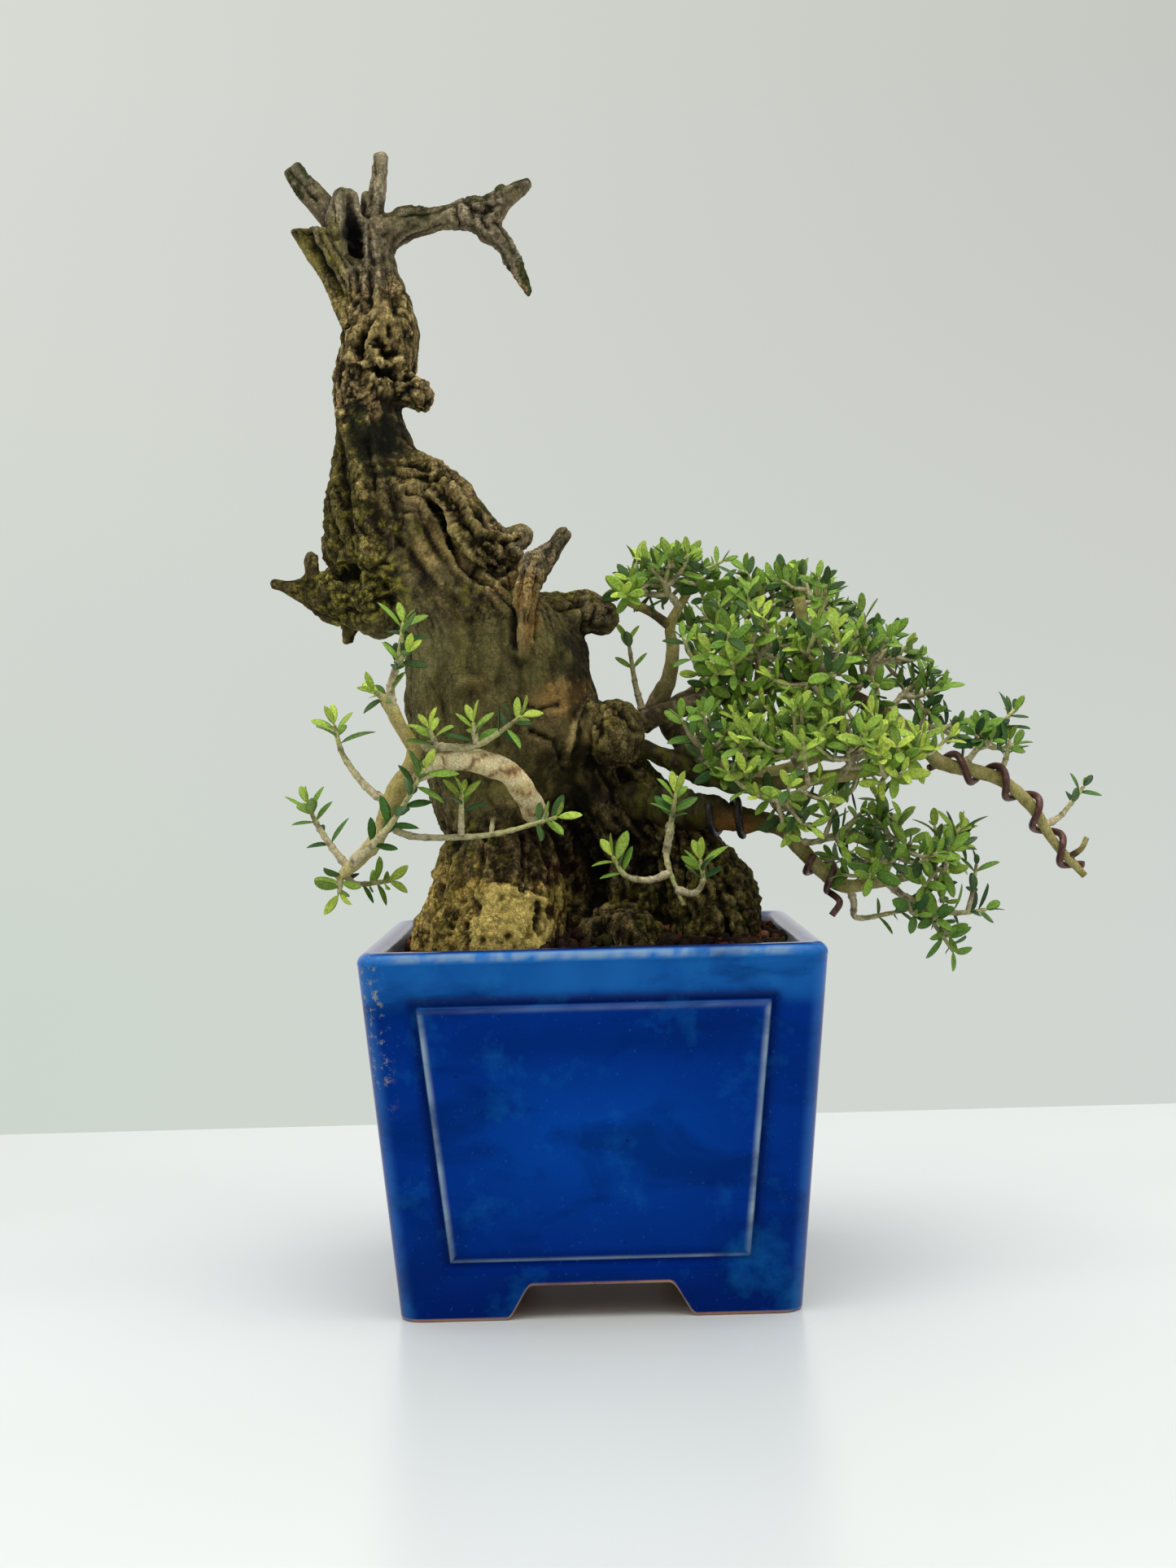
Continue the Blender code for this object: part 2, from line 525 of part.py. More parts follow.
def make_pot():
    """Tapered square pot with grooved panels, notched feet and a drain hole."""
    inner_top = POT_TOP_HALF - POT_WALL
    inner_foot = pot_half(FLOOR_TOP) - POT_WALL
    profile = (
        (POT_FOOT_HALF - 0.8, POT_CORNER, 0),
        (POT_FOOT_HALF, POT_CORNER, 1),
        (POT_TOP_HALF, POT_CORNER, POT_HEIGHT - 3),
        (POT_TOP_HALF - 0.3, POT_CORNER, POT_HEIGHT - 1.2),
        (POT_TOP_HALF - 2, POT_CORNER - 1, POT_HEIGHT),
        (POT_TOP_HALF - 5.5, POT_CORNER - 2.5, POT_HEIGHT),
        (POT_TOP_HALF - 7, POT_CORNER - 3, POT_HEIGHT - 1),
        (inner_top, POT_CORNER - 3, POT_HEIGHT - 3),
        (inner_foot, POT_CORNER - 3, FLOOR_TOP + 3),
        (inner_foot - 3, POT_CORNER - 4, FLOOR_TOP),
    )
    verts, faces = rings_mesh([rounded_square(*row) for row in profile])
    pot = new_object("pot", verts, faces, material("blue_glaze", (0.01, 0.08, 0.42), 0.12))
    under_half = POT_FOOT_HALF - FOOT_DEPTH
    under = [rounded_square(under_half, 4, z) for z in (-2, FOOT_HEIGHT + 0.3)]
    cut(pot, prism("under", *under), "EXACT")
    slope = (NOTCH_FOOT_HALF - NOTCH_TOP_HALF) / FOOT_HEIGHT
    low = NOTCH_FOOT_HALF + slope * 2
    for quarter in (0, 1):
        outline = ((-low, -2), (low, -2), (NOTCH_TOP_HALF, FOOT_HEIGHT), (-NOTCH_TOP_HALF, FOOT_HEIGHT))
        front = turned([(x, -70, z) for x, z in outline], quarter)
        rear = turned([(x, 70, z) for x, z in outline], quarter)
        cut(pot, prism("notch", rear, front), "EXACT")
    for quarter in range(4):
        rings = [turned(panel_ring(*row), quarter) for row in PANEL_GROOVE]
        cut(pot, new_object("panel", *rings_mesh(rings)), "EXACT")
    hole = []
    for z in (5, 25):
        hole.append([(DRAIN_RADIUS * math.cos(a * math.pi / 8), DRAIN_RADIUS * math.sin(a * math.pi / 8), z)
                     for a in range(16)])
    cut(pot, prism("drain", *hole), "EXACT")
    return pot


def make_screen():
    """Square plastic screen that lies over the drain hole under the soil."""
    bottom = FLOOR_TOP + GAP
    low = rounded_square(SCREEN_HALF, 2, bottom, 1)
    high = rounded_square(SCREEN_HALF, 2, bottom + SCREEN_THICK, 1)
    verts, faces = rings_mesh([low, high])
    screen = new_object("drain_screen", verts, faces, material("black_plastic", (0.02, 0.02, 0.02), 0.6))
    middle = (SCREEN_HOLES - 1) / 2
    holes = []
    for i in range(SCREEN_HOLES):
        for k in range(SCREEN_HOLES):
            x = (i - middle) * SCREEN_PITCH
            y = (k - middle) * SCREEN_PITCH
            half = SCREEN_HOLE / 2
            ring = ((x - half, y - half), (x + half, y - half), (x + half, y + half), (x - half, y + half))
            holes.append(prism("hole", [(a, b, bottom - 1) for a, b in ring],
                               [(a, b, bottom + SCREEN_THICK + 1) for a, b in ring]))
    cutter = join_all(holes[0], holes[1:])
    return cut(screen, cutter)


def grain(x, y):
    """Repeatable rough height of the soil's grains."""
    return noise.noise(Vector((x * 0.37, y * 0.37, 3.1))) + 0.6 * noise.noise(Vector((x * 0.9, y * 0.9, 7.7)))


def make_soil(trunk_clearance):
    """Filling of the pot, mounded under the trunk, with a socket for the root crown."""
    bottom = FLOOR_TOP + GAP + SCREEN_THICK + GAP
    rings = []
    for z, corner in ((bottom, 3), (FLOOR_TOP + 6, 4), (SOIL_EDGE_Z, 4)):
        half = POT_TOP_HALF - POT_WALL
        low = pot_half(FLOOR_TOP) - POT_WALL
        share = (z - FLOOR_TOP - 3) / (POT_HEIGHT - 6 - FLOOR_TOP)
        width = low + (half - low) * max(share, -0.02) - GAP - 0.1
        if z == bottom:
            width = low - 3 - GAP
        rings.append(rounded_square(width, corner, z))
    edge = rings[-1]
    for step in range(1, SOIL_RINGS + 1):
        shrink = 1 - step / (SOIL_RINGS + 0.6)
        lift = SOIL_MOUND * min(1, (1 - shrink) * 2.2)
        ring = []
        for x, y, z in edge:
            place = (x * shrink, y * shrink)
            ring.append((*place, z + lift + SOIL_GRAIN * 2 * grain(*place)))
        rings.append(ring)
    verts, faces = rings_mesh(rings)
    soil = new_object("soil", verts, faces, material("soil_grains", (0.22, 0.09, 0.05), 0.9))
    cut(soil, trunk_clearance, keep_cutter=True)
    return keep_largest(soil)


def trunk_skin():
    """Loose overlapping skins of the trunk's core and of its lumps, in one mesh."""
    verts = []
    faces = []

    def add(part):
        start = len(verts)
        verts.extend(part[0])
        faces.extend(tuple(start + i for i in face) for face in part[1])

    rings = []
    for z, left, right, front, back in spline(TRUNK_SECTIONS, 2):
        ring = []
        for k in range(28):
            angle = 2 * math.pi * k / 28
            c = math.cos(angle)
            s = math.sin(angle)
            reach = (abs(c) ** 2.4 + abs(s) ** 2.4) ** (-1 / 2.4)
            ring.append(((left + right) / 2 + (right - left) / 2 * c * reach,
                         (front + back) / 2 + (back - front) / 2 * s * reach, z))
        rings.append(ring)
    add(rings_mesh(rings))
    for rows in TRUNK_LUMPS.values():
        rows = [(x, y, z, max(radius, LUMP_LEAST)) for x, y, z, radius in rows]
        add(tube_mesh(spline(rows, 3), 12))
        for row in (rows[0], rows[-1]):
            add(ball(row))
    return verts, faces


def ball(row):
    """Closed round end of a lump."""
    x, y, z, radius = row
    rings = []
    for step in range(1, 6):
        tilt = math.pi * step / 6
        size = radius * math.sin(tilt)
        height = z - radius * math.cos(tilt)
        rings.append([(x + size * math.cos(a * math.pi / 5), y + size * math.sin(a * math.pi / 5), height)
                      for a in range(10)])
    return rings_mesh(rings)


def distance_to_path(x, z, path):
    """Distance in the front view from each place to a chain of points."""
    nearest = np.full(len(x), 1e9)
    for (ax, az), (bx, bz) in zip(path, path[1:]):
        length = (bx - ax) ** 2 + (bz - az) ** 2
        t = np.clip(((x - ax) * (bx - ax) + (z - az) * (bz - az)) / length, 0, 1)
        nearest = np.minimum(nearest, np.hypot(x - ax - t * (bx - ax), z - az - t * (bz - az)))
    return nearest


def bark_relief(place):
    """Height of the bark: long flutes that climb the trunk, and knots."""
    climb = Vector((place.x * 0.11, place.y * 0.11, place.z * 0.035))
    knots = Vector((place.x * 0.09, place.y * 0.09, place.z * 0.09)) + Vector((5, 2, 9))
    return 1.5 * noise.noise(climb) + 1.3 * noise.noise(knots)


def make_trunk_body(name, mat):
    """Core and lumps melted into one skin, then furrowed and thinned."""
    verts, faces = trunk_skin()
    body = new_object(name, verts, faces, mat)
    melt = body.modifiers.new("melt", "REMESH")
    melt.mode = "VOXEL"
    melt.voxel_size = TRUNK_VOXEL * MM
    ease = body.modifiers.new("ease", "SMOOTH")
    ease.factor = 0.5
    ease.iterations = 3
    bake(body)
    mesh = body.data
    count = len(mesh.vertices)
    normals = np.empty(count * 3)
    mesh.vertices.foreach_get("normal", normals)
    normals = normals.reshape(-1, 3)
    co = np.empty(count * 3)
    mesh.vertices.foreach_get("co", co)
    co = co.reshape(-1, 3) / MM
    co[:, 0] -= POT_AXIS_X
    push = np.array([bark_relief(Vector(place)) for place in co])
    push *= np.clip((co[:, 2] - 80) / 15, 0, 1) * np.clip((330 - co[:, 2]) / 60, 0.25, 1)
    facing = np.clip(-normals[:, 1] * 1.5, 0, 1)
    for radius, depth, path in TRUNK_FURROWS:
        near = distance_to_path(co[:, 0], co[:, 2], path)
        push += depth * np.exp(-(near / radius) ** 2) * facing
    co += normals * push[:, None]
    co[:, 0] += POT_AXIS_X
    mesh.vertices.foreach_set("co", (co * MM).ravel())
    mesh.update()
    thin = body.modifiers.new("thin", "DECIMATE")
    thin.ratio = TRUNK_TRIANGLES / (2 * len(mesh.polygons))
    bake(body)
    return keep_largest(body)


def limb_rows():
    """Smooth centrelines of every woody limb, by name, as (x, y, z, radius)."""
    rows = {name: spline(points, 1) for name, points in LEFT_LIMBS.items()}
    for name, points in DRAWN_LIMBS.items():
        rows[name] = spline([drawn_row(row) for row in points], 1)
    return rows


def make_trunk(limbs):
    """Trunk and woody limbs as one body, and a swollen copy that sets the clearance."""
    bark = material("bark", (0.17, 0.13, 0.09), 0.85)
    trunk = make_trunk_body("trunk", bark)
    clearance = trunk.copy()
    clearance.data = trunk.data.copy()
    clearance.name = "clearance"
    bpy.context.scene.collection.objects.link(clearance)
    swell = clearance.modifiers.new("swell", "DISPLACE")
    swell.strength = (GAP + 0.1) * MM
    swell.mid_level = 0.0
    bake(clearance)
    for body, extra in ((trunk, 0.0), (clearance, GAP)):
        tubes = [new_object(name, *tube_mesh(rows, LIMB_SIDES, extra)) for name, rows in limbs.items()]
        join_all(body, tubes)
    clearance.hide_render = True
    clearance.display_type = "WIRE"
    return keep_largest(trunk), clearance


def leaf_mesh(root, along, up, length, width, extra=0.0):
    """Elliptic leaf blade: six edge points, a keel below and a crown above."""
    side = along.cross(up).normalized()
    up = side.cross(along).normalized()
    half = width / 2 + extra
    verts = []
    for u, v in ((0, 0), (0.32, 0.92), (0.7, 0.88), (1, 0), (0.7, -0.88), (0.32, -0.92)):
        bend = up * (-0.12 * length * u * u)
        verts.append(root + along * (u * (length + extra)) + side * (v * half) + bend)
    middle = root + along * (0.5 * length) - up * (0.03 * length)
    verts.append(middle + up * (LEAF_THICK / 2 + extra))
    verts.append(middle - up * (LEAF_THICK / 2 + extra))
    faces = []
    for k in range(6):
        faces.append((k, (k + 1) % 6, 6))
        faces.append(((k + 1) % 6, k, 7))
    return verts, faces


def leaf_places(points, leaves_from, seed):
    """Opposite pairs in crossed order along a twig, and the leaves at its tip.

    A side twig (leaves_from of exactly 1) ends in one pair and a single upright leaf.
    """
    if leaves_from > 1:
        return []
    rng = random.Random(seed)
    places = [Vector(row) for row in points]
    lengths = np.concatenate(([0], np.cumsum([(b - a).length for a, b in zip(places, places[1:])])))
    total = lengths[-1]
    stops = []
    at = leaves_from * total + 1.5
    while at < total - PAIR_STEP - 4:
        stops.append((at, 58))
        at += LEAF_SPACING
    stops += [(total - PAIR_STEP, 64), (total - 0.3, 36)]
    lone = leaves_from == 1
    turn = rng.uniform(0, math.pi)
    out = []
    for at, spread in stops:
        i = int(np.clip(np.searchsorted(lengths, at) - 1, 0, len(places) - 2))
        share = (at - lengths[i]) / (lengths[i + 1] - lengths[i])
        place = places[i].lerp(places[i + 1], share)
        ahead = (places[i + 1] - places[i]).normalized()
        across = ahead.cross(Vector((0.2, 0.3, 1.0))).normalized()
        other = ahead.cross(across)
        for sign in (1,) if lone and at == stops[-1][0] else (1, -1):
            angle = turn + rng.uniform(-0.25, 0.25)
            outward = (across * math.cos(angle) + other * math.sin(angle)) * sign
            tilt = math.radians(spread + rng.uniform(-9, 9))
            along = (ahead * math.cos(tilt) + outward * math.sin(tilt) + Vector((0, 0, 0.22))).normalized()
            up = (ahead - along * ahead.dot(along)) + Vector((0, 0, 0.3))
            size = rng.uniform(0.8, 1.12) * (0.86 if spread < 40 else 1)
            out.append((place - along * LEAF_SINK, along, up, LEAF_LENGTH * size, LEAF_WIDTH * size))
        turn += math.pi / 2
    return out


def skin_tree(verts, faces):
    """Search tree over a skin, in millimetres."""
    return BVHTree.FromPolygons([tuple(v) for v in verts], faces)


def object_tree(obj):
    """Search tree over an object's mesh, in millimetres round the pot's axis."""
    verts = [(v.co.x / MM - POT_AXIS_X, v.co.y / MM, v.co.z / MM) for v in obj.data.vertices]
    return BVHTree.FromPolygons(verts, [tuple(p.vertices) for p in obj.data.polygons])


def twig_rows(points, radius):
    """A twig's points with radii that run down to the twig's tip."""
    last = len(points) - 1
    return [(*place, radius + (TWIG_TIP - radius) * i / last) for i, place in enumerate(points)]


def bent_clear(points, radius, trunk_tree, others, rng):
    """A twig's points with the tip moved, step by step, until the twig touches nothing."""
    for step in range(TRIES):
        shift = Vector([rng.uniform(-1, 1) for axis in range(3)]) * (TRY_STEP * step)
        tried = [*points[:-1], Vector(points[-1]) + shift]
        whole = skin_tree(*tube_mesh(twig_rows(tried, radius), TWIG_SIDES, GAP))
        outer = skin_tree(*tube_mesh(twig_rows(tried, radius)[-2:], TWIG_SIDES, GAP))
        if not outer.overlap(trunk_tree) and not any(whole.overlap(tree) for tree in others):
            return tried
    return None


def make_spray(name, twigs, trunk_tree, taken, clearance, mat):
    """Twigs and leaves of one leafy stem as one body, seated on its limb.

    A twig that meets another spray is bent clear of it. A leaf that would touch the trunk or
    another spray is turned a little, then left off.
    """
    rng = random.Random(name)
    parts = []
    grown = []
    for points, radius, leaves_from in twigs:
        points = bent_clear(points, radius, trunk_tree, taken.values(), rng)
        if points:
            grown.append((points, leaves_from))
            parts.append(new_object("twig", *tube_mesh(twig_rows(points, radius), TWIG_SIDES)))
    for number, (points, leaves_from) in enumerate(grown):
        for leaf in leaf_places(points, leaves_from, f"{name}{number}"):
            root, along, up, length, width = leaf
            for lift in (0.0, 0.5, -0.4):
                tried = (along + Vector((0.3 * lift, -0.3 * lift, lift))).normalized()
                probe = skin_tree(*leaf_mesh(root, tried, up, length, width, GAP))
                if not any(probe.overlap(tree) for tree in (trunk_tree, *taken.values())):
                    parts.append(new_object("leaf", *leaf_mesh(root, tried, up, length, width)))
                    break
    spray = parts[0]
    spray.name = name
    spray.data.materials.append(mat)
    join_all(spray, parts[1:])
    cut(spray, clearance, keep_cutter=True)
    keep_largest(spray)
    taken[name] = object_tree(spray)
    return spray


def fan_twigs(limb, root, fork, tips):
    """A short stem from the limb's core to a fork, and a bowed twig to each tip."""
    root = nearest_on(limb, drawn(root))
    fork = drawn(fork)
    twigs = []
    for number, tip in enumerate(tips):
        tip = drawn(tip)
        span = (tip - fork).length
        middle = fork.lerp(tip, 0.5) + Vector((0, 0, -0.08 * span))
        if number == 0:
            bend = root.lerp(fork, 0.5) + Vector((0, 0, -0.06 * (fork - root).length))
            twigs.append(((root, bend, fork, tip), 1.25, 0.99))
        else:
            twigs.append(((fork, middle, tip), 0.95, 1.0))
    return twigs


def nearest_on(rows, place):
    """The point of a limb's centreline that lies nearest to a place."""
    best = None
    for a, b in zip(rows, rows[1:]):
        start = Vector(a[:3])
        span = Vector(b[:3]) - start
        share = min(1.0, max(0.0, (place - start).dot(span) / span.length_squared))
        point = start + span * share
        if best is None or (point - place).length < (best - place).length:
            best = point
    return best


def coil_rows(limb, start, end, turns, wire, phase, stand_off, tail):
    """Wire wound round a limb: the limb's centreline with a turning offset, then its tail."""
    fine = spline(limb, 8)
    places = [Vector(row[:3]) for row in fine]
    lengths = np.concatenate(([0], np.cumsum([(b - a).length for a, b in zip(places, places[1:])])))
    count = int(turns * 7)
    rows = []
    for i in range(count + 1):
        at = (start + (end - start) * i / count) * lengths[-1]
        j = int(np.clip(np.searchsorted(lengths, at) - 1, 0, len(places) - 2))
        share = (at - lengths[j]) / (lengths[j + 1] - lengths[j])
        place = places[j].lerp(places[j + 1], share)
        ahead = (places[j + 1] - places[j]).normalized()
        radius = fine[j][3] + (fine[j + 1][3] - fine[j][3]) * share
        across = ahead.cross(Vector((0, 1, 0))).normalized()
        other = ahead.cross(across)
        angle = phase + 2 * math.pi * turns * i / count
        reach = radius + wire + stand_off + GAP
        rows.append((*(place + (across * math.cos(angle) + other * math.sin(angle)) * reach), wire))
    return rows + [(*drawn(point), wire) for point in tail]


def main():
    """Build every piece."""
    for obj in list(bpy.data.objects):
        bpy.data.objects.remove(obj)
    limbs = limb_rows()
    make_pot()
    make_screen()
    trunk, clearance = make_trunk(limbs)
    make_soil(clearance)
    taken = {}
    trunk_tree = object_tree(trunk)
    copper = material("brown_wire", (0.2, 0.1, 0.08), 0.5, 0.6)
    for name, (limb, *winding) in WIRE_COILS.items():
        coil = new_object(name, *tube_mesh(coil_rows(limbs[limb], *winding), WIRE_SIDES), copper)
        taken[name] = object_tree(coil)
    leaf_green = material("leaf_green", (0.13, 0.32, 0.06), 0.45)
    sprays = dict(LEFT_SPRAYS)
    sprays["spray_front_hooks"] = HOOK_TWIGS
    for name, (limb, root, fork, tips) in DRAWN_SPRAYS.items():
        sprays[name] = fan_twigs(limbs[limb], root, fork, tips)
    for name, twigs in sprays.items():
        make_spray(name, twigs, trunk_tree, taken, clearance, leaf_green)


main()
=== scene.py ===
"""Finished surfaces of a wild olive bonsai in a square blue glazed pot.

The lists of points are in millimetres round the pot's axis, with Z from the feet and the
front towards -Y. Every surface is worked out in that frame and put into metres, with
POT_AXIS_X, as the last step. Places in the right crown are laid out on a front drawing,
and drawn() moves each one to its depth along the line of sight.
"""
import math

import bpy
import numpy as np
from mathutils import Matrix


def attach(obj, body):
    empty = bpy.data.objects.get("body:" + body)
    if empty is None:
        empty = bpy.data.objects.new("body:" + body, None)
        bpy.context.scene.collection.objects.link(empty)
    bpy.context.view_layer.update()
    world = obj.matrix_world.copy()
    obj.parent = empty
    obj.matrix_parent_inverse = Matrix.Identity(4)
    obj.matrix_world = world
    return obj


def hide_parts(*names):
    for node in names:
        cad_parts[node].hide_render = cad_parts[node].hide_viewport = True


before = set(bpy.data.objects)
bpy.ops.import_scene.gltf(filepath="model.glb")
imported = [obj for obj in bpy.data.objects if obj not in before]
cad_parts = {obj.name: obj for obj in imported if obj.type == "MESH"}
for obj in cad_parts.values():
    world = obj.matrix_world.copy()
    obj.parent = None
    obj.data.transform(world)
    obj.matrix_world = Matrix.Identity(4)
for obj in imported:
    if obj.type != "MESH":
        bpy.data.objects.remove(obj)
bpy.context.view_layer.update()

MM = 0.001
POT_AXIS_X = -30.3
EYE_DISTANCE = 650.0
EYE_HEIGHT = 154.3
EYE_FOCAL = 49.5
EYE_PITCH = 0.64
EYE_ROLL = 1.5

POT_TOP_HALF = 65.0
POT_FOOT_HALF = 56.0
POT_HEIGHT = 103.0
POT_WALL = 7.5
POT_CORNER = 7.0
FOOT_HEIGHT = 9.5
FOOT_INSIDE = 46.0
FLOOR_TOP = 18.0
FLOOR_UNDER = 9.8
WALL_LOW_Z = 12.6
NOTCH_TOP_HALF = 20.0
NOTCH_FOOT_HALF = 25.5
PANEL_TOP_Z = 88.0
PANEL_TOP_HALF = 48.8
PANEL_FOOT_Z = 16.5
PANEL_FOOT_HALF = 41.6
DRAIN_RADIUS = 10.0
SOIL_EDGE_Z = 96.5
SOIL_MOUND = 5.0
SOIL_HEAP = 4.5

TRUNK_VOXEL = 0.84
TRUNK_FOOT_Z = 90.0
SPLINTER_CUT = 314.2

# Stage: floor tones and back edge (metres, left and right), and light by direction
FLOOR_TONE = (0.66, 0.69, 0.67)
FLOOR_SHADE = (0.61, 0.64, 0.62)
FLOOR_BACK = (0.265, 0.285)
ROOM_FRONT = 0.22
ROOM_BACK = 0.8
ROOM_TOP = 0.45
# Name, place in metres, width, height, power
LAMPS = (
    ("overhead", (0.0, -0.3, 0.95), 0.9, 0.7, 6.0),
    ("left_window", (-0.95, -0.5, 0.6), 0.5, 0.9, 1.6),
    ("right_window", (0.9, -0.4, 0.5), 0.35, 0.9, 1.2),
)

# Trunk outline: height, left, right, front, back
TRUNK_SECTIONS = (
    (88, -38, 34, -4, 24),
    (100, -42, 38, -6, 27),
    (115, -40, 37, -7, 27),
    (128, -41, 32, -11, 26),
    (138, -45, 24, -17, 25),
    (148, -47.5, 14, -22, 24),
    (158, -50.2, 8, -26, 23),
    (168, -53, 5, -27, 23),
    (178, -53.4, 2, -27, 22),
    (188, -53.2, 0.6, -26, 21),
    (197, -55, -5, -25, 20),
    (206, -66, -15, -24, 19),
    (214, -74, -22, -23, 18),
    (222, -76, -27, -22, 17),
    (230, -75.5, -33, -20.5, 15),
    (238, -74.8, -39, -19, 14),
    (246, -73.5, -47.5, -17, 13),
    (254, -73, -52, -15, 12),
    (262, -73, -53.5, -13, 10),
    (270, -73, -49.5, -12, 9),
    (278, -71.5, -48, -12, 9),
    (286, -69.5, -48, -11, 9),
    (294, -68.5, -50, -10, 8),
    (302, -68, -53.5, -9, 7),
    (310, -67, -55, -8, 6.5),
    (317, -66, -57, -6, 5),
)

# Swellings and stubs that melt into the trunk: (x, y, z, radius) along each
TRUNK_LUMPS = {
    "left_buttress": (
        (-25, -6, 144, 17.5), (-24.5, -8, 130, 16.6), (-26.6, -11, 119, 19),
        (-29, -12, 106, 21.7), (-31, -12, 97, 22.5), (-29, -10, 88, 19)),
    "right_buttress": (
        (4, 0, 151, 10), (18.5, 0, 138, 11), (29, 0, 124, 12.5), (35.4, -1, 112, 14.8),
        (36.5, -2, 98, 14.8), (35, -2, 88, 13)),
    "rear_buttress": ((-6, 16, 140, 16), (-4, 22, 115, 15), (-4, 25, 90, 15)),
    "cave_mound": ((8, -8, 90, 13), (8, -9, 100, 15), (7, -6, 106, 9)),
    "knot": ((-4, -8, 160, 11), (5, -15, 161.5, 10.5), (8, -20, 162, 9.5)),
    "right_stub": ((-16, -2, 195, 9.5), (-4, -3, 197.6, 7.6), (3, -3, 198, 5.4), (6.9, -3, 197.2, 4.6)),
    "shelf": (
        (-50, -10, 242, 5.5), (-43, -12, 236, 6.6), (-36.9, -14, 229.6, 7.5), (-30, -15, 217.5, 7.6),
        (-26, -14, 210.5, 5.5)),
    "shelf_arm": ((-30, -13, 218.6, 5), (-24, -13, 219, 4.1), (-19.8, -13, 220.1, 3.3),
                  (-17.8, -13, 220.9, 2.7)),
    "shelf_chin": ((-27, -14, 214, 5), (-22, -14, 214.8, 4), (-20, -14, 215.6, 2.8)),
    "burl": ((-60, -10, 204.5, 12), (-66, -7, 205.5, 10), (-75, -5, 205.3, 7.6),
             (-84, -4, 207.2, 4.3), (-92.6, -3, 210, 2.1)),
    "left_spike_up": ((-81, -4, 209, 2), (-81.2, -4, 217, 1.4)),
    "left_spike_down": ((-68, -4, 201, 2.4), (-70, -4, 195.5, 1.9), (-71.3, -4, 191.2, 1.5)),
    "neck_knob": ((-54, -5, 267, 6.2), (-47.8, -7, 264.8, 4.4), (-44.2, -8, 263, 2.8)),
    "neck_drop": ((-49, -7, 262.5, 3), (-45.2, -8, 260.4, 2)),
    "jin": ((-22, -13, 202, 5), (-14, -16, 210, 3.8), (-8.8, -16, 216.5, 3.2), (-5.3, -15, 221.6, 2.7)),
    "peeled_strip": ((-14, -21, 213, 2.4), (-16, -24.5, 205, 3.2), (-17, -26, 195, 2.8),
                     (-18, -26.5, 185, 2)),
    "crown_stub": ((-60, 0, 314, 3.4), (-59.2, 0, 323, 2.5), (-57.9, 0, 331, 2.3),
                   (-57.3, 0, 337.1, 1.9)),
    "stub_flake": ((-61.5, 0, 318, 2), (-62.3, 0, 325.5, 1.2)),
    "crown_left": ((-68, 2, 315, 4.4), (-75, 2, 323, 3.8), (-80.8, 1, 329, 3.5),
                   (-84.6, 1, 333.8, 2.6)),
    "crown_fork": ((-80.6, 1, 330.5, 2), (-82.6, 1, 335.8, 1.2)),
    "hollow_stump": ((-68, -3, 306, 5.6), (-68.2, -4, 316, 5.6), (-68.2, -4, 324.4, 3.9)),
    "splinter": ((-67, -3, 286, 3), (-70, -4, 294, 2.8), (-73.4, -4, 301.5, 2.7),
                 (-78, -4, 309, 2.8), (-82.2, -4, 315.5, 3)),
    "splinter_ridge": ((-66, -6, 286, 4), (-67, -7, 294, 3.2), (-69.6, -7, 302, 3.1),
                       (-74, -7, 309, 3), (-76.4, -6, 315, 2.8)),
    "crown_right": (
        (-60, 0, 312, 6), (-51, 0, 316, 4.3), (-44, 0, 317.4, 3.5), (-38, -1, 318.4, 3.6),
        (-31, -1, 319, 5), (-26, -1, 319, 5), (-21.3, -1, 323, 3.3),
        (-16.6, -1, 325.8, 2.6), (-13, -1, 328.2, 1.6)),
    "crown_nub": ((-53, 0, 319.3, 1.8), (-47, 0, 320.9, 1.5), (-45, 0, 322, 1.1)),
    "crown_bump": ((-22.6, 0, 323.6, 2.2), (-21.6, 0, 327, 1.5)),
    "crown_spur": ((-26, -1, 315, 4), (-21.8, -2, 310.3, 2.7), (-18, -2, 303.3, 2.1),
                   (-15.4, -2, 298, 1.6), (-14, -2, 294, 0.9)),
}
# Lumps whose grain runs along their own length
GRAINED_LUMPS = (
    "burl", "left_spike_up", "left_spike_down", "jin", "peeled_strip", "crown_stub",
    "crown_left", "crown_fork", "hollow_stump", "splinter", "splinter_ridge", "crown_right",
    "crown_spur", "right_stub")

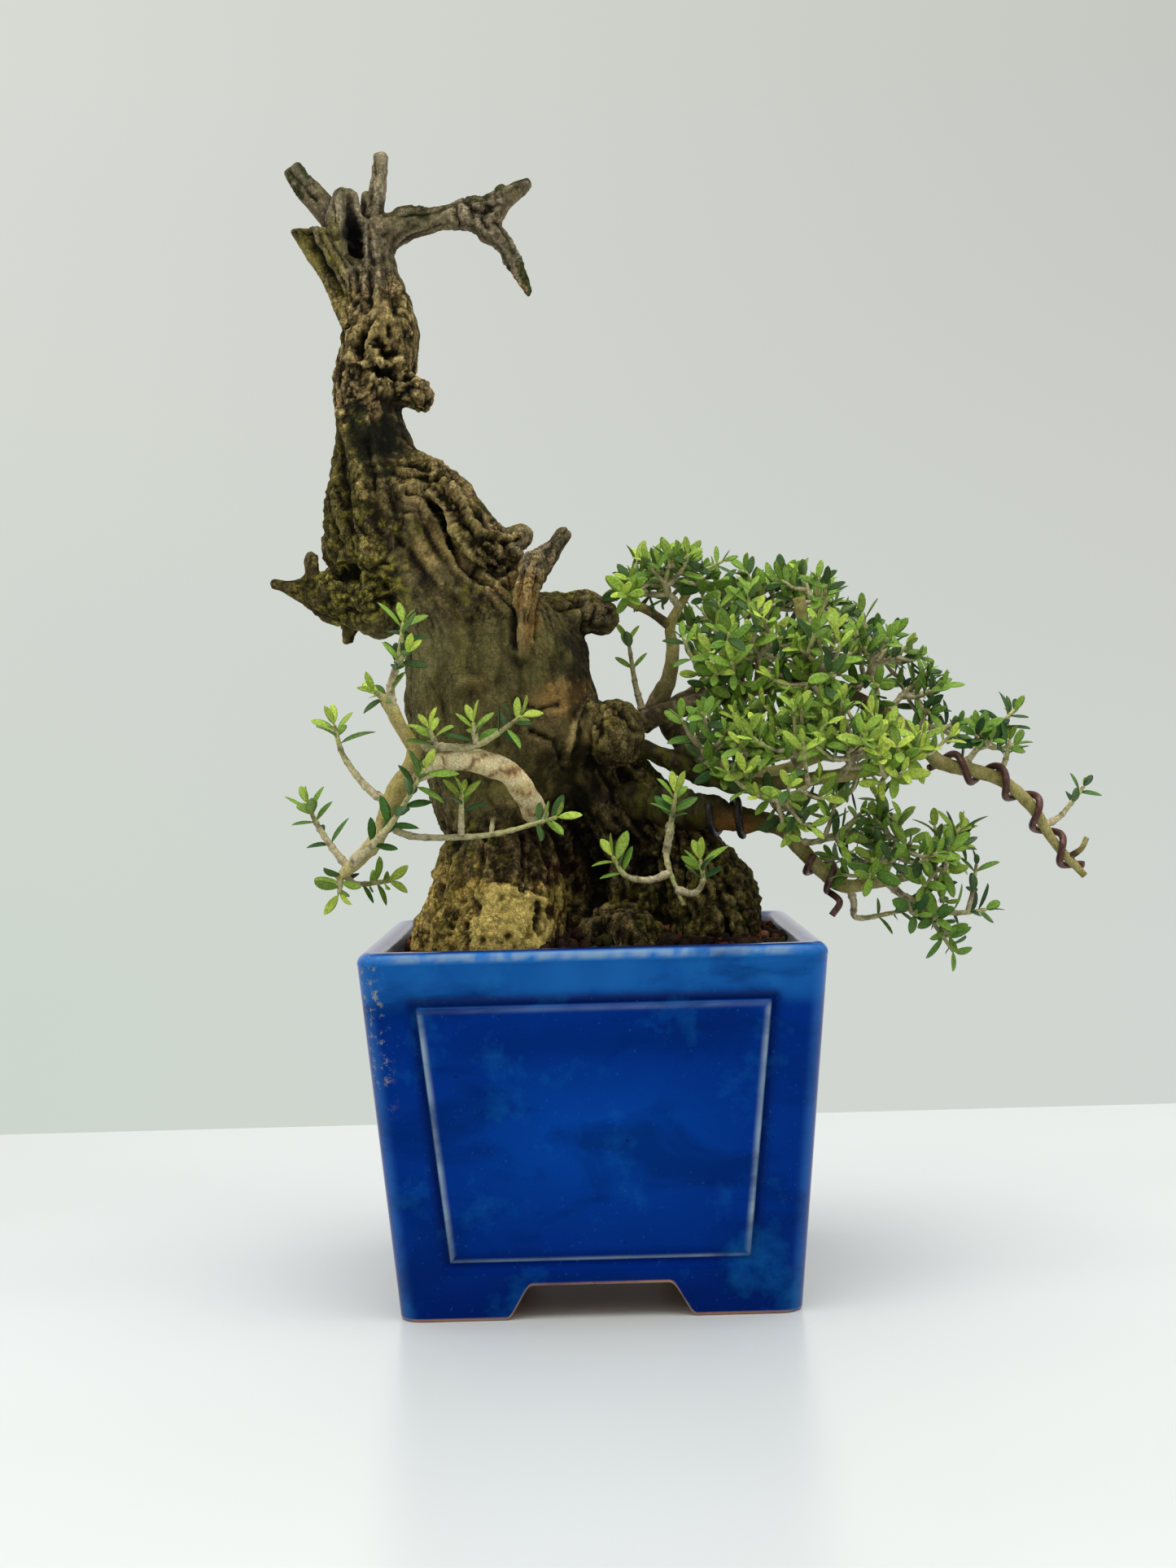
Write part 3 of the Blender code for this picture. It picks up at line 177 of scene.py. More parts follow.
# Lines carved on the front view: half width, height (negative is cut in), then (x, z) points
TRUNK_STROKES = (
    # folded bark of the shelf
    (0.8, -4.2, ((-50, 233.5), (-46, 232.5), (-42, 229), (-40, 224), (-38, 218), (-35, 212),
                 (-31, 208.5), (-27, 206))),
    (1.0, -2.2, ((-54, 240), (-50, 238), (-44, 237.5), (-40, 239), (-36, 237.5))),
    (0.8, -2.0, ((-44, 235), (-39.5, 232), (-36.5, 226), (-34, 220), (-30, 214.5), (-25.5, 211))),
    (1.0, -2.2, ((-40, 235), (-37, 231), (-34.5, 225), (-31, 219), (-27, 215), (-23, 212.5))),
    (0.9, -2.0, ((-35, 223), (-29, 219.5), (-23, 218), (-18.5, 219.5))),
    (0.9, -1.8, ((-33, 232), (-31, 226), (-27, 222), (-21, 221.5))),
    (1.6, 2.0, ((-52, 235), (-47, 234), (-43, 233), (-39, 229), (-36.5, 222), (-33, 216), (-29, 212))),
    (1.4, 1.6, ((-43, 239), (-38, 236), (-35, 231), (-33, 226), (-29, 221.5), (-24, 219.5))),
    (1.0, -1.8, ((-53, 243), (-48, 242), (-43, 239.5), (-39, 235.5))),
    # smooth muscle
    (2.6, -1.5, ((-55, 231), (-52, 220), (-45, 209), (-38, 201))),
    (2.0, -1.2, ((-47, 228), (-43, 217), (-37, 207))),
    (2.4, -1.4, ((-60, 226), (-58, 214), (-50, 202))),
    (1.2, 0.9, ((-50, 226), (-47, 216), (-41, 206))),
    # ribbons of the left side
    (1.6, 2.0, ((-70, 258), (-68, 251), (-66.5, 245), (-65, 239), (-63.5, 233))),
    (1.3, -2.4, ((-72, 256), (-71, 247), (-69.5, 239), (-68.5, 231))),
    (1.3, -2.2, ((-75, 247), (-74, 238), (-73, 228), (-71.5, 219))),
    (1.6, -2.8, ((-62.5, 250), (-61.5, 243), (-60.5, 236))),
    (1.3, 1.5, ((-73.3, 250), (-72, 240), (-71, 231), (-69.5, 222))),
    (1.2, 1.4, ((-66, 228), (-64, 220), (-61, 213))),
    (2.2, -3.2, ((-72, 212), (-68, 210))),
    (4.5, -2.4, ((-60, 259), (-58, 250), (-56, 244))),
    # neck with its two eyes
    (1.3, -5.0, ((-61, 285), (-63.5, 281), (-65, 277.5), (-64.5, 275))),
    (1.5, -4.4, ((-58.5, 279.5), (-57, 277), (-55.5, 275))),
    (1.0, -2.0, ((-55, 284), (-54.5, 279), (-53, 275))),
    (1.0, -1.3, ((-60.5, 300), (-61, 293), (-60, 288))),
    (1.0, -1.6, ((-55.5, 301), (-54.5, 294), (-53.5, 287))),
    (1.2, 1.6, ((-66.5, 284), (-68, 279), (-67.5, 274))),
    (1.3, 2.0, ((-60, 288), (-63.5, 284.5), (-66, 279.5), (-66, 274), (-62, 272))),
    (1.2, 2.0, ((-59.5, 284), (-61.3, 279), (-60.5, 275), (-57, 272), (-52, 273.5))),
    (1.1, -2.6, ((-60, 272.5), (-57, 269.5), (-53, 268.5), (-49.5, 269))),
    (1.0, 1.2, ((-53, 300), (-51.5, 294), (-50.5, 288), (-49.8, 282))),
    (0.9, -2.0, ((-69, 290), (-67.5, 284), (-68.5, 277), (-70.5, 270), (-71, 262))),
    # splinter, stump and crown limbs
    (1.1, -3.0, ((-80, 314), (-76.5, 307), (-72.5, 300), (-69.5, 292))),
    (0.7, -1.4, ((-83, 314), (-79.5, 306), (-76, 299), (-73, 293))),
    (0.7, -1.4, ((-76, 312.5), (-72, 305), (-69, 298), (-67, 291))),
    (0.7, -1.2, ((-85, 314.5), (-81.5, 307.5), (-77.5, 300))),
    (2.4, -6.5, ((-66, 321), (-65.3, 314), (-65, 307))),
    (0.8, -1.4, ((-72, 325), (-71, 318), (-70, 311))),
    (0.9, -1.4, ((-61, 318), (-60.5, 310), (-60, 303))),
    (0.8, -1.7, ((-33, 325), (-31, 321), (-30, 316.5))),
    (0.8, -1.7, ((-30, 319), (-26, 318), (-23, 321))),
    (0.7, -1.5, ((-36, 324), (-35, 319), (-34, 315))),
    (0.7, -1.4, ((-28, 317), (-26, 313.5))),
    (0.7, -1.3, ((-52, 319), (-46, 318.5), (-40, 320), (-36, 321.5))),
    (0.7, -1.1, ((-59.5, 336), (-59.8, 329), (-60.5, 322))),
    (0.8, -1.4, ((-85.5, 335), (-82, 329.5), (-77, 324))),
    # bare snag and peeled strips
    (0.6, -0.9, ((-6, 224.5), (-11, 218), (-16, 211.5))),
    (0.6, -0.8, ((-4.5, 222.5), (-9, 216.5), (-13.5, 211))),
    (0.9, -2.2, ((-18.2, 209), (-19, 203), (-20.5, 195), (-20, 187))),
    (0.8, -1.8, ((-12.5, 211), (-13, 204), (-14, 197), (-15, 190))),
    (1.2, 1.8, ((-21, 208.5), (-24, 207), (-27.5, 205.5))),
    # cut stub and knot
    (0.9, -1.6, ((-7, 206), (-3, 204), (0, 198), (0, 192))),
    (0.8, -1.4, ((3, 204), (3.5, 199), (2, 194))),
    (0.8, -1.6, ((-12, 202), (-8, 199), (-4, 199.5), (0, 201))),
    (1.3, 1.8, ((1, 172), (-2, 167), (-5, 160), (-6, 153))),
    (0.8, -1.5, ((4, 169), (1, 164), (0, 158), (1, 152))),
    (0.7, -1.0, ((3, 159), (4, 165), (8, 167.5), (12, 166), (14, 162))),
    (1.0, -1.0, ((-20, 172), (-14, 169), (-8, 170.5))),
    (1.0, -1.5, ((-16, 163), (-10, 160), (-7, 154))),
    # middle of the trunk
    (2.5, -0.8, ((-44, 196), (-43, 182), (-42, 168), (-40, 155))),
    (2.2, -0.8, ((-33, 196), (-33, 180), (-34, 165), (-34, 150))),
    (2.0, -0.8, ((-24, 190), (-25, 176), (-26, 160))),
    (2.5, 1.6, ((-35, 177.5), (-31, 177))),
    # cave and buttresses
    (7.0, -5.0, ((-6, 150), (-4, 135), (-2, 118), (0, 104))),
    (4.0, -3.5, ((12, 150), (14, 135), (16, 120))),
    (0.9, -2.0, ((20, 146), (25, 134), (28, 120), (29, 106))),
    (0.9, -2.0, ((28, 136), (34, 124), (38, 112), (40, 102))),
    (0.8, -1.6, ((36, 124), (43, 113), (47, 104))),
    (1.0, -1.8, ((-40, 130), (-43, 120), (-47, 110), (-50, 101))),
    (0.9, -1.6, ((-30, 133), (-31, 126), (-33, 120))),
    (0.9, -1.6, ((-20, 132), (-19, 124), (-18, 117))),
    (1.3, -2.6, ((-12.5, 134), (-11, 124), (-9.5, 112), (-9, 101))),
)
# Soft patches of tone on the front view, some of them painted shade in the cave, the recess,
# the burl's pit, the stump's hole and under the cut stub: centre x and z, half width and height,
# tone, share
TRUNK_PATCHES_AND_SHADE = (
    (-42, 214, 15, 19, "5c503c", 0.9),
    (-33, 230, 17, 19, "7b6540", 0.75),
    (-34, 219, 10, 10, "8a7449", 0.5),
    (-46, 238, 9, 5, "8f7a4c", 0.5),
    (-32, 112, 24, 16, "8f7640", 0.8),
    (-30, 128, 14, 8, "3c3124", 0.7),
    (-46, 106, 8, 11, "6d6428", 0.4),
    (-44, 102, 8, 4, "c9ab58", 0.7),
    (-14, 125, 6, 9, "613622", 0.8),
    (-7, 173, 9, 6, "a07c4c", 0.8),
    (-50, 190, 9, 13, "8c8660", 0.6),
    (-14, 163, 10, 6, "57442d", 0.6),
    (-1, 176, 3, 4, "96703f", 0.5),
    (-44, 317, 10, 5, "9c9074", 0.8),
    (-18, 303, 5, 9, "968c7c", 0.7),
    (-58, 330, 3, 9, "9a9080", 0.6),
    (-31, 177, 4, 3, "64502f", 0.6),
    (-20, 184, 5, 12, "30301c", 0.5),
    (-16, 202, 3.6, 13, "8f683c", 0.85),
    (-23, 206, 5, 2, "a98a5a", 0.8),
    (-12, 218, 9, 10, "8b8172", 0.9),
    # the next two rows: painted shade in the recess on the trunk's left side
    (-60, 252, 10, 10, "13150d", 0.92),
    (-62, 240, 6, 8, "1c1d12", 0.7),
    (-69, 226, 7, 22, "6b662c", 0.6),
    (-49, 288, 4, 16, "4a4a1c", 0.6),
    # painted shade in the pit cut beside the burl
    (-70, 211, 4, 3, "14140c", 0.8),
    # the next two rows: painted shade in the cave between the buttresses
    (6, 126, 16, 27, "090a05", 0.93),
    (22, 132, 6, 14, "14150b", 0.7),
    (5, 114, 6, 4, "6b4a26", 0.6),
    (6, 103, 12, 4, "1d2410", 0.7),
    # painted shadow under the cut stub
    (-4, 186, 7, 9, "15160c", 0.75),
    (5, 199, 5, 5, "6a5f51", 0.7),
    (8, 162, 9, 9, "6a5a38", 0.8),
    (13, 160, 5, 7, "4a4420", 0.6),
    (-71.5, 318, 4, 7, "8c8174", 0.8),
    # painted shade in the hollow stump's hole
    (-65, 313, 3.4, 7, "080705", 0.97),
    (-84, 331, 6, 6, "877c70", 0.8),
    (-75, 303, 6, 9, "76683a", 0.8),
)
# Streaks of tone along lines of the front view: half width, tone, share, then (x, z) points
TRUNK_STREAKS = (
    (1.7, "b5a25a", 0.8, ((-70, 258), (-68, 251), (-66.5, 245), (-65, 239), (-63.5, 233))),
    (1.4, "a8924f", 0.6, ((-73, 275), (-74, 268), (-74, 261))),
    (1.5, "b3a061", 0.7, ((-78, 313), (-74, 308), (-70.5, 301), (-68, 293), (-68, 286))),
    (1.4, "b39a6c", 0.75, ((1, 172), (-2, 167), (-5, 160), (-6, 153))),
    (1.2, "b09a72", 0.6, ((-52, 235), (-47, 234), (-43, 233), (-39, 229), (-36.5, 222), (-33, 216))),
    (1.0, "b4986a", 0.7, ((-14, 214), (-16, 205), (-18, 196), (-18, 187))),
    (1.6, "23260f", 0.8, ((-57, 322), (-50, 322.5), (-45, 323.5))),
    (1.6, "23260f", 0.7, ((-33, 326), (-27, 325), (-22, 329), (-18, 329), (-13, 330))),
    (1.4, "23260f", 0.7, ((-20, 310), (-17, 305), (-15, 298))),
    (1.5, "2a2c12", 0.8, ((-28, 226), (-22, 225.5), (-16, 226))),
    (1.3, "30300f", 0.6, ((-5, 221), (-9, 215), (-12, 211))),
)

# Woody limbs: (x, y, z, radius) along each
LEFT_LIMBS = {
    "arch": (
        (-15, -12, 139, 3), (-15.5, -24, 139, 3.6), (-17, -35, 143.5, 3.5), (-22, -41, 151, 3.4),
        (-30, -44, 154.5, 3.3), (-37, -45, 155.5, 3.2), (-44, -45, 153.5, 2.9),
        (-50, -45, 150, 2.2)),
    "left_stem": (
        (-48, -45, 160, 2.2), (-49.5, -45, 153.5, 2.8), (-53, -45, 148, 3), (-56, -45, 143, 2.6),
        (-58, -45, 137, 2.3), (-61, -45, 132, 2.3), (-66, -45, 127, 2), (-71, -45, 122.5, 1.3)),
    "left_rise": ((-48, -45, 158, 2), (-52, -46, 165, 1.9), (-54.5, -46, 170, 1.9),
                  (-56.5, -46, 173.5, 1.9)),
}
DRAWN_LIMBS = {
    "upper": (
        (-8, 8, 173, 6), (5, 8, 167, 4.3), (17, 8, 165.5, 3.4), (22, 7, 172, 3),
        (25.3, 6, 179, 2.4), (26.6, 5, 187, 2), (26.4, 4, 195, 1.6), (33, 6, 206, 1.1)),
    "upper_left": ((26, 4, 194, 1.6), (19, 2, 199, 1.4), (12.5, 0, 202, 1.3)),
    "rear": (
        (17, 8, 165.5, 3.6), (29, 15, 171, 2.7), (42, 22, 180, 2.2), (55, 25, 186, 1.9),
        (67, 24, 190, 1.6), (79, 20, 188, 1.1)),
    "long": (
        (17, 8, 166, 3.6), (30, 2, 169.5, 3), (45, -1, 173.6, 2.6), (62, -4, 175.6, 2.3),
        (74, -6, 174.5, 2.3), (82, -7, 170.5, 2.2), (92, -8, 164.5, 2.2), (100, -8, 157.5, 2.2),
        (106, -8, 151, 2.2), (118, -8, 147.5, 2.0), (126, -8, 144, 1.9), (134, -8, 136, 1.7),
        (140, -8, 126, 1.45), (149, -8, 115.5, 1.1)),
    "upright": ((66, -5, 176, 2.2), (67, -3, 186, 2), (65, -2, 201.5, 1.8)),
    "bare_tip": ((144, -8, 121, 1.1), (148, -9, 123.5, 0.9), (150, -9, 127, 0.8)),
    "middle": (
        (2, 3, 160, 4.4), (16, -2, 157.5, 3), (26, -6, 153, 3.1), (35, -10, 148.5, 2.7),
        (46, -13, 145.5, 2.4),
        (60, -17, 146, 2.2), (75, -20, 147.5, 2), (88, -21, 149.5, 1.7), (102, -21, 154.5, 1)),
    "low_rear": (
        (23, 11, 168, 3.4), (28, 15, 160, 3.5), (33.5, 20, 153, 3), (45, 27, 149, 2.1),
        (59, 31, 150, 1.7), (73, 30, 154, 1.1)),
    "lower": (
        (8, -6, 144, 5), (20, -9, 140, 5.6), (30, -12, 138.6, 5.8), (38.5, -14, 137.2, 4.9),
        (47, -15, 135, 3.4), (57, -15, 133.2, 2.7), (63.5, -15, 126, 2.3), (70, -15, 119, 2.2),
        (76, -15, 114.5, 2.1),
        (86, -15, 115, 1.7), (96, -15, 116.5, 1.1)),
}

# Leafy stems. Each twig is (points, root radius, where the leaves start, from 0 to 1)
LEFT_SPRAYS = {
    "spray_left_top": (
        (((-54, -46, 169), (-54.5, -46.5, 176), (-52, -47, 184), (-50.5, -47, 194)), 1.6, 0.42),
        (((-55.5, -46, 172.5), (-59, -47.5, 175)), 1.3, 0.5),
        (((-52.6, -47, 182), (-49.5, -49, 185.5)), 0.9, 0.4)),
    "spray_left_outer": (
        (((-56.5, -45, 144), (-62, -44, 148), (-68.5, -43, 157), (-71, -43, 166)), 1.3, 0.93),),
    "spray_left_inner": (
        (((-48, -45, 160), (-41, -47, 159), (-30, -48, 159.5), (-18, -48, 167)), 1.6, 0.72),
        (((-31, -48, 159.5), (-31.5, -48.5, 165.5)), 1.1, 0.4),
        (((-42, -47, 159), (-44, -49, 164.5)), 0.9, 0.5)),
    "spray_left_front": (
        (((-67, -45, 126.5), (-63, -50.5, 130), (-54, -53, 139), (-45, -53, 153)), 1.5, 0.28),),
    "spray_left_low": (
        (((-57, -45, 138), (-49, -43, 134), (-28, -45, 134), (-9, -48, 138.5)), 1.2, 0.95),
        (((-36, -44.5, 134), (-35.5, -45, 146)), 1.0, 0.35),
        (((-27.5, -45, 134), (-27, -45, 138.5)), 0.7, 2.0)),
    "spray_left_tip": (
        (((-67.5, -45, 125.5), (-72, -44, 131), (-76.5, -43, 138), (-79, -43, 144)), 1.2, 0.35),),
    "spray_left_foot": (
        (((-69, -45, 124), (-66, -42, 121), (-57, -41, 121.5)), 1.1, 0.4),
        (((-70, -45, 123.5), (-70.5, -46.5, 118.5)), 1.0, 0.4)),
}
# Right sprays: limb, root, fork, the tips that fan out from the fork, and youth
DRAWN_SPRAYS = {
    "spray_crown_a": ("upper_left", (15, 1, 201), (15, 0, 206),
                      ((14, -5, 208.5), (12, 4, 204.5), (17.5, 6, 210)), 0.62),
    "spray_crown_b": ("upper", (29, 5, 199.5), (25, 1, 206),
                      ((27, -3, 216), (22, 9, 214), (31, 2, 212.5)), 0.55),
    "spray_crown_c": ("upper", (32, 6, 204), (34, 9, 208), ((37, 6, 208), (30, 15, 210)), 0.4),
    "spray_crown_twig": ("upper", (17, 8, 167), (14.8, 6, 178), ((13.3, 5, 190),), 0.45),
    "spray_rear_a": ("rear", (40, 21, 179), (43, 22, 190),
                     ((45, 16, 201), (49, 24, 205), (36, 28, 198)), 0.4),
    "spray_rear_b": ("rear", (53, 25, 185), (55, 24, 196),
                     ((51, 18, 206.5), (58, 22, 206.5), (57, 33, 201)), 0.5),
    "spray_rear_c": ("rear", (69, 24, 190), (71, 22, 197),
                     ((72, 16, 205), (76, 24, 200), (67, 30, 204)), 0.5),
    "spray_rear_d": ("rear", (77, 21, 188), (82, 21, 189), ((85, 15, 193), (87, 26, 188)), 0.35),
    "spray_rear_e": ("rear", (52, 25, 184), (56, 33, 184), ((64, 40, 186), (53, 43, 182)), 0.3),
    "spray_long_a": ("long", (40, 0, 173.5), (41, -6, 182),
                     ((34, -9, 190), (44, -12, 191), (34, -9, 179), (47, -13, 176)), 0.6),
    "spray_long_b": ("long", (52, -2, 176), (52, -9, 184),
                     ((50, -15, 189), (58, -12, 191), (45, 2, 193), (57, -16, 177)), 0.65),
    "spray_long_c": ("long", (70, -5, 176), (70, -13, 181),
                     ((65, -16, 186), (75, -12, 187), (66, -19, 173.5), (77, -18, 178)), 0.6),
    "spray_long_d": ("upright", (66, -3, 193), (71, -1, 197),
                     ((73, -4, 204), (79, 2, 196), (66, 4, 209)), 0.5),
    "spray_long_e": ("long", (80, -7, 172), (86, -5, 180),
                     ((84, -10, 186), (92, 0, 187), (97, -6, 186), (88, -15, 174)), 0.45),
    "spray_long_f": ("long", (90, -8, 166), (95, -5, 171),
                     ((103, -3, 178), (99, 4, 176), (108, -8, 174)), 0.4),
    "spray_long_g": ("long", (94.5, -8, 163), (103, -6, 161.5),
                     ((104, -3, 166), (112, -6, 162.5)), 0.2),
    "spray_long_h": ("long", (112, -8, 149), (118, -7, 155), ((129, -5, 166), (122, -12, 157)), 0.3),
    "spray_long_i": ("long", (123, -8, 146.5), (126, -5, 151), ((127.5, -3, 157),), 0.45),
    "spray_long_j": ("long", (136.8, -8, 131), (143, -5, 134.5), ((149.5, -4, 142.5),), 0.1),
    "spray_middle_a": ("middle", (33, -9, 149.5), (37, -15, 154),
                       ((41, -21, 158), (32, -10, 161), (37, -18, 167), (41, -23, 148)), 0.4),
    "spray_middle_b": ("middle", (48, -14, 145), (50, -21, 153),
                       ((51, -25, 162), (57, -20, 165), (45, -20, 167)), 0.65),
    "spray_middle_c": ("middle", (62, -17, 146), (64, -23, 154),
                       ((69, -22, 165), (62, -29, 156), (73, -27, 158), (62, -19, 168)), 0.6),
    "spray_middle_d": ("middle", (52, -15, 145), (55, -25, 141),
                       ((51, -31, 142), (61, -30, 140), (70, -31, 147)), 0.65),
    "spray_middle_e": ("middle", (76, -20, 147.5), (79, -27, 152),
                       ((77, -30, 159), (86, -31, 156), (84, -23, 163), (76, -22, 168)), 0.6),
    "spray_middle_f": ("middle", (90, -21, 150), (93, -26, 153),
                       ((93, -28, 160), (98, -30, 152), (88, -30, 145)), 0.85),
    "spray_low_rear_a": ("low_rear", (46, 27, 149), (50, 33, 156),
                         ((55, 34, 165), (44, 39, 159)), 0.3),
    "spray_low_rear_b": ("low_rear", (60, 31, 150), (66, 32, 156),
                         ((76, 36, 162), (67, 27, 166)), 0.3),
    "spray_low_rear_c": ("low_rear", (71, 30, 153.5), (78, 27, 153),
                         ((88, 24, 158), (84, 33, 149)), 0.3),
    "spray_lower_a": ("lower", (61, -15, 128), (69, -17, 128),
                      ((80, -22, 130), (82, -12, 136)), 0.5),
    "spray_lower_b": ("lower", (86, -15, 115), (91, -17, 121),
                      ((97, -21, 127), (94, -14, 134), (85, -25, 122)), 0.5),
    "spray_lower_c": ("lower", (94, -15, 116), (101, -15, 121),
                      ((110, -17, 124), (112, -10, 131), (108, -24, 118)), 0.55),
    "spray_lower_d": ("lower", (89, -15, 115.3), (99, -16, 108),
                      ((109, -18, 93.5), (119, -13, 106)), 0.25),
    "spray_lower_e": ("lower", (78, -15, 114.4), (80.5, -15, 104.5), ((95, -10, 106.5),), 0.2),
    "spray_lower_f": ("lower", (82, -15, 114.7), (85, -5, 121), ((92, 2, 127), (79, 6, 124)), 0.3),
}
# Sprays with one side shoot fewer on each twig
THIN_SPRAYS = ("spray_rear_c", "spray_rear_d", "spray_long_e", "spray_long_f")
# Outline that the right crown's side shoots stay inside, on the front drawing (x, z)
CROWN_OUTLINE = (
    (8, 206), (13, 215), (22, 220), (33, 219), (40, 211), (49, 214), (57, 210), (77, 210.5),
    (82, 202), (87, 193.5), (98, 193), (102, 185), (111, 181.5), (108, 172.5), (102, 167.5),
    (114, 161), (116, 165), (127, 171), (133, 168), (130, 158), (136, 151), (124, 145.5),
    (106, 152), (97, 153), (99, 144), (89, 138), (102, 136), (121, 130), (118, 123), (111, 121),
    (111, 113), (126, 107), (125, 102.5), (117, 101), (120, 92), (111, 92), (101, 101),
    (93, 106), (84, 110), (74, 113), (66, 120), (58, 127), (50, 133), (42, 143), (34, 150),
    (29, 158), (23, 173), (19, 185), (17, 197), (11, 200))
# The front sprig with its two curled hooks
HOOK_TWIGS = (
    (((24, -11, 135), (23.5, -20, 132), (22, -30, 127), (23, -33, 121), (26.5, -34, 112)), 1.4, 2.0),
    (((22, -30, 127), (23, -33, 133), (25, -34, 144)), 1.25, 0.55),
    (((23, -33, 121.5), (17, -34, 119.5), (10, -34, 121), (6.5, -34, 126.5)), 1.25, 0.9),
    (((24.5, -33.5, 116.5), (29.5, -35, 115.5), (32, -35, 119), (31.5, -35, 125)), 1.2, 0.85),
)
# Training wire coils: limb, share of the limb where each starts and ends, turns, wire radius,
# phase, how far it stands off the bark, and a loose tail on the front drawing
WIRE_COILS = {
    "wire_long_limb": ("long", 0.625, 0.985, 4.3, 1.1, 3.8, 0.3, ()),
    "wire_long_loop": ("long", 0.17, 0.215, 1.9, 0.8, 1.3, 2.6, ()),
    "wire_lower_limb": ("lower", 0.31, 0.42, 1.3, 1.1, 1.2, 0.1, ()),
    "wire_lower_spur": ("lower", 0.66, 0.77, 1.35, 1.0, 1.2, 0.3, ((75, -19, 109.5), (72.5, -19, 105.5))),
}


# ---- numbers and noise ----

def tone(text):
    """Linear colour of a six-digit screen colour."""
    screen = np.array([int(text[i:i + 2], 16) / 255 for i in (0, 2, 4)])
    return np.where(screen <= 0.04045, screen / 12.92, ((screen + 0.055) / 1.055) ** 2.4)


def ease(low, high, value):
    """Smooth step from 0 at low to 1 at high."""
    t = np.clip((value - low) / (high - low), 0, 1)
    return t * t * (3 - 2 * t)


def blend(first, second, share):
    """Mix of two colours, or of rows of colours, by a share for each row."""
    share = np.asarray(share, dtype=float)[..., None]
    return first * (1 - share) + second * share


def scatter(cells, salt):
    """Repeatable whole random number for each whole-numbered cell (last axis x, y, z)."""
    c = cells.astype(np.int64).astype(np.uint32)
    n = c[..., 0] * np.uint32(374761393) + c[..., 1] * np.uint32(668265263)
    n = n + c[..., 2] * np.uint32(2246822519) + np.uint32((salt * 40503 + 977) % 4294967291)
    n = (n ^ (n >> np.uint32(13))) * np.uint32(1274126177)
    n = (n ^ (n >> np.uint32(15))) * np.uint32(2246822519)
    return n ^ (n >> np.uint32(16))


def slopes(cells, salt):
    """Three random numbers from -1 to 1 for each cell."""
    n = scatter(cells, salt)
    parts = [(n >> np.uint32(shift)) & np.uint32(1023) for shift in (0, 10, 20)]
    return np.stack(parts, axis=-1) / 511.5 - 1


def waves(places, size, salt=0):
    """Smooth noise, about -1 to 1: random slopes at the corners of a lattice, blended."""
    p = np.asarray(places) / size
    base = np.floor(p)
    f = p - base
    fade = f * f * f * (f * (f * 6 - 15) + 10)
    total = np.zeros(p.shape[:-1])
    for corner in np.ndindex(2, 2, 2):
        corner = np.array(corner)
        weight = np.where(corner == 1, fade, 1 - fade).prod(axis=-1)
        total += weight * ((f - corner) * slopes(base + corner, salt)).sum(axis=-1)
    return total * 1.4


def layers(places, size, count, salt=0):
    """Sum of waves, each half the size and half the height of the one before."""
    total = 0
    for i in range(count):
        total = total + waves(places, size / 2 ** i, salt + i) / 2 ** i
    return total


def ridges(places, size, count, salt=0):
    """Sum of folded waves, which gives sharp crests: near 1 on a crest and 0 or less between."""
    total = 0
    for i in range(count):
        total = total + (1 - 2.4 * np.abs(waves(places, size / 2 ** i, salt + i))) / 2 ** i
    return total / (2 - 2 / 2 ** count)


def plates(places, size, salt=0):
    """Distances to the nearest and to the second nearest of one random point in each cell."""
    p = np.asarray(places) / size
    base = np.floor(p)
    near = np.full(p.shape[:-1], 9.0)
    second = near.copy()
    for step in np.ndindex(3, 3, 3):
        cell = base + np.array(step) - 1
        gap = np.linalg.norm(cell + 0.5 + 0.42 * slopes(cell, salt) - p, axis=-1)
        second = np.minimum(second, np.maximum(near, gap))
        near = np.minimum(near, gap)
    return near, second


def unit(vectors):
    """Vectors scaled to length 1."""
    return vectors / np.maximum(np.linalg.norm(vectors, axis=-1, keepdims=True), 1e-9)


def spline(rows, per_span):
    """Catmull-Rom curve through rows of numbers, with per_span steps between rows."""
    rows = np.array(rows, dtype=float)
    padded = np.vstack((2 * rows[0] - rows[1], rows, 2 * rows[-1] - rows[-2]))
    t = np.linspace(0, 1, per_span, endpoint=False)[None, :, None]
    a, b, c, d = (padded[i:len(padded) - 3 + i, None, :] for i in range(4))
    curve = 0.5 * (2 * b + (c - a) * t + (2 * a - 5 * b + 4 * c - d) * t ** 2
                   + (3 * b - a - 3 * c + d) * t ** 3)
    return np.vstack((curve.reshape(-1, rows.shape[1]), rows[-1:]))


def lengths_along(points):
    """Length of a path up to each of its points."""
    return np.concatenate(([0], np.cumsum(np.linalg.norm(np.diff(points, axis=0), axis=1))))


def point_at(points, lengths, at):
    """Place and direction at a length along a path: a blend of the two points round it."""
    i = int(np.clip(np.searchsorted(lengths, at) - 1, 0, len(points) - 2))
    share = (at - lengths[i]) / (lengths[i + 1] - lengths[i])
    return points[i] * (1 - share) + points[i + 1] * share, unit(points[i + 1] - points[i])


def drawn(rows):
    """Places of the front drawing, moved to their own depth along the line of sight."""
    rows = np.array(rows, dtype=float)
    reach = (EYE_DISTANCE + rows[..., 1]) / EYE_DISTANCE
    rows[..., 0] *= reach
    rows[..., 2] = EYE_HEIGHT + (rows[..., 2] - EYE_HEIGHT) * reach
    return rows


# ---- surfaces ----

class Coats:
    """Tones laid one over another: each covers what is under it by its share."""

    def __init__(self, colour):
        self.colour = colour

    def over(self, text, share):
        """Lays a tone over the others."""
        self.colour = blend(self.colour, tone(text), share)


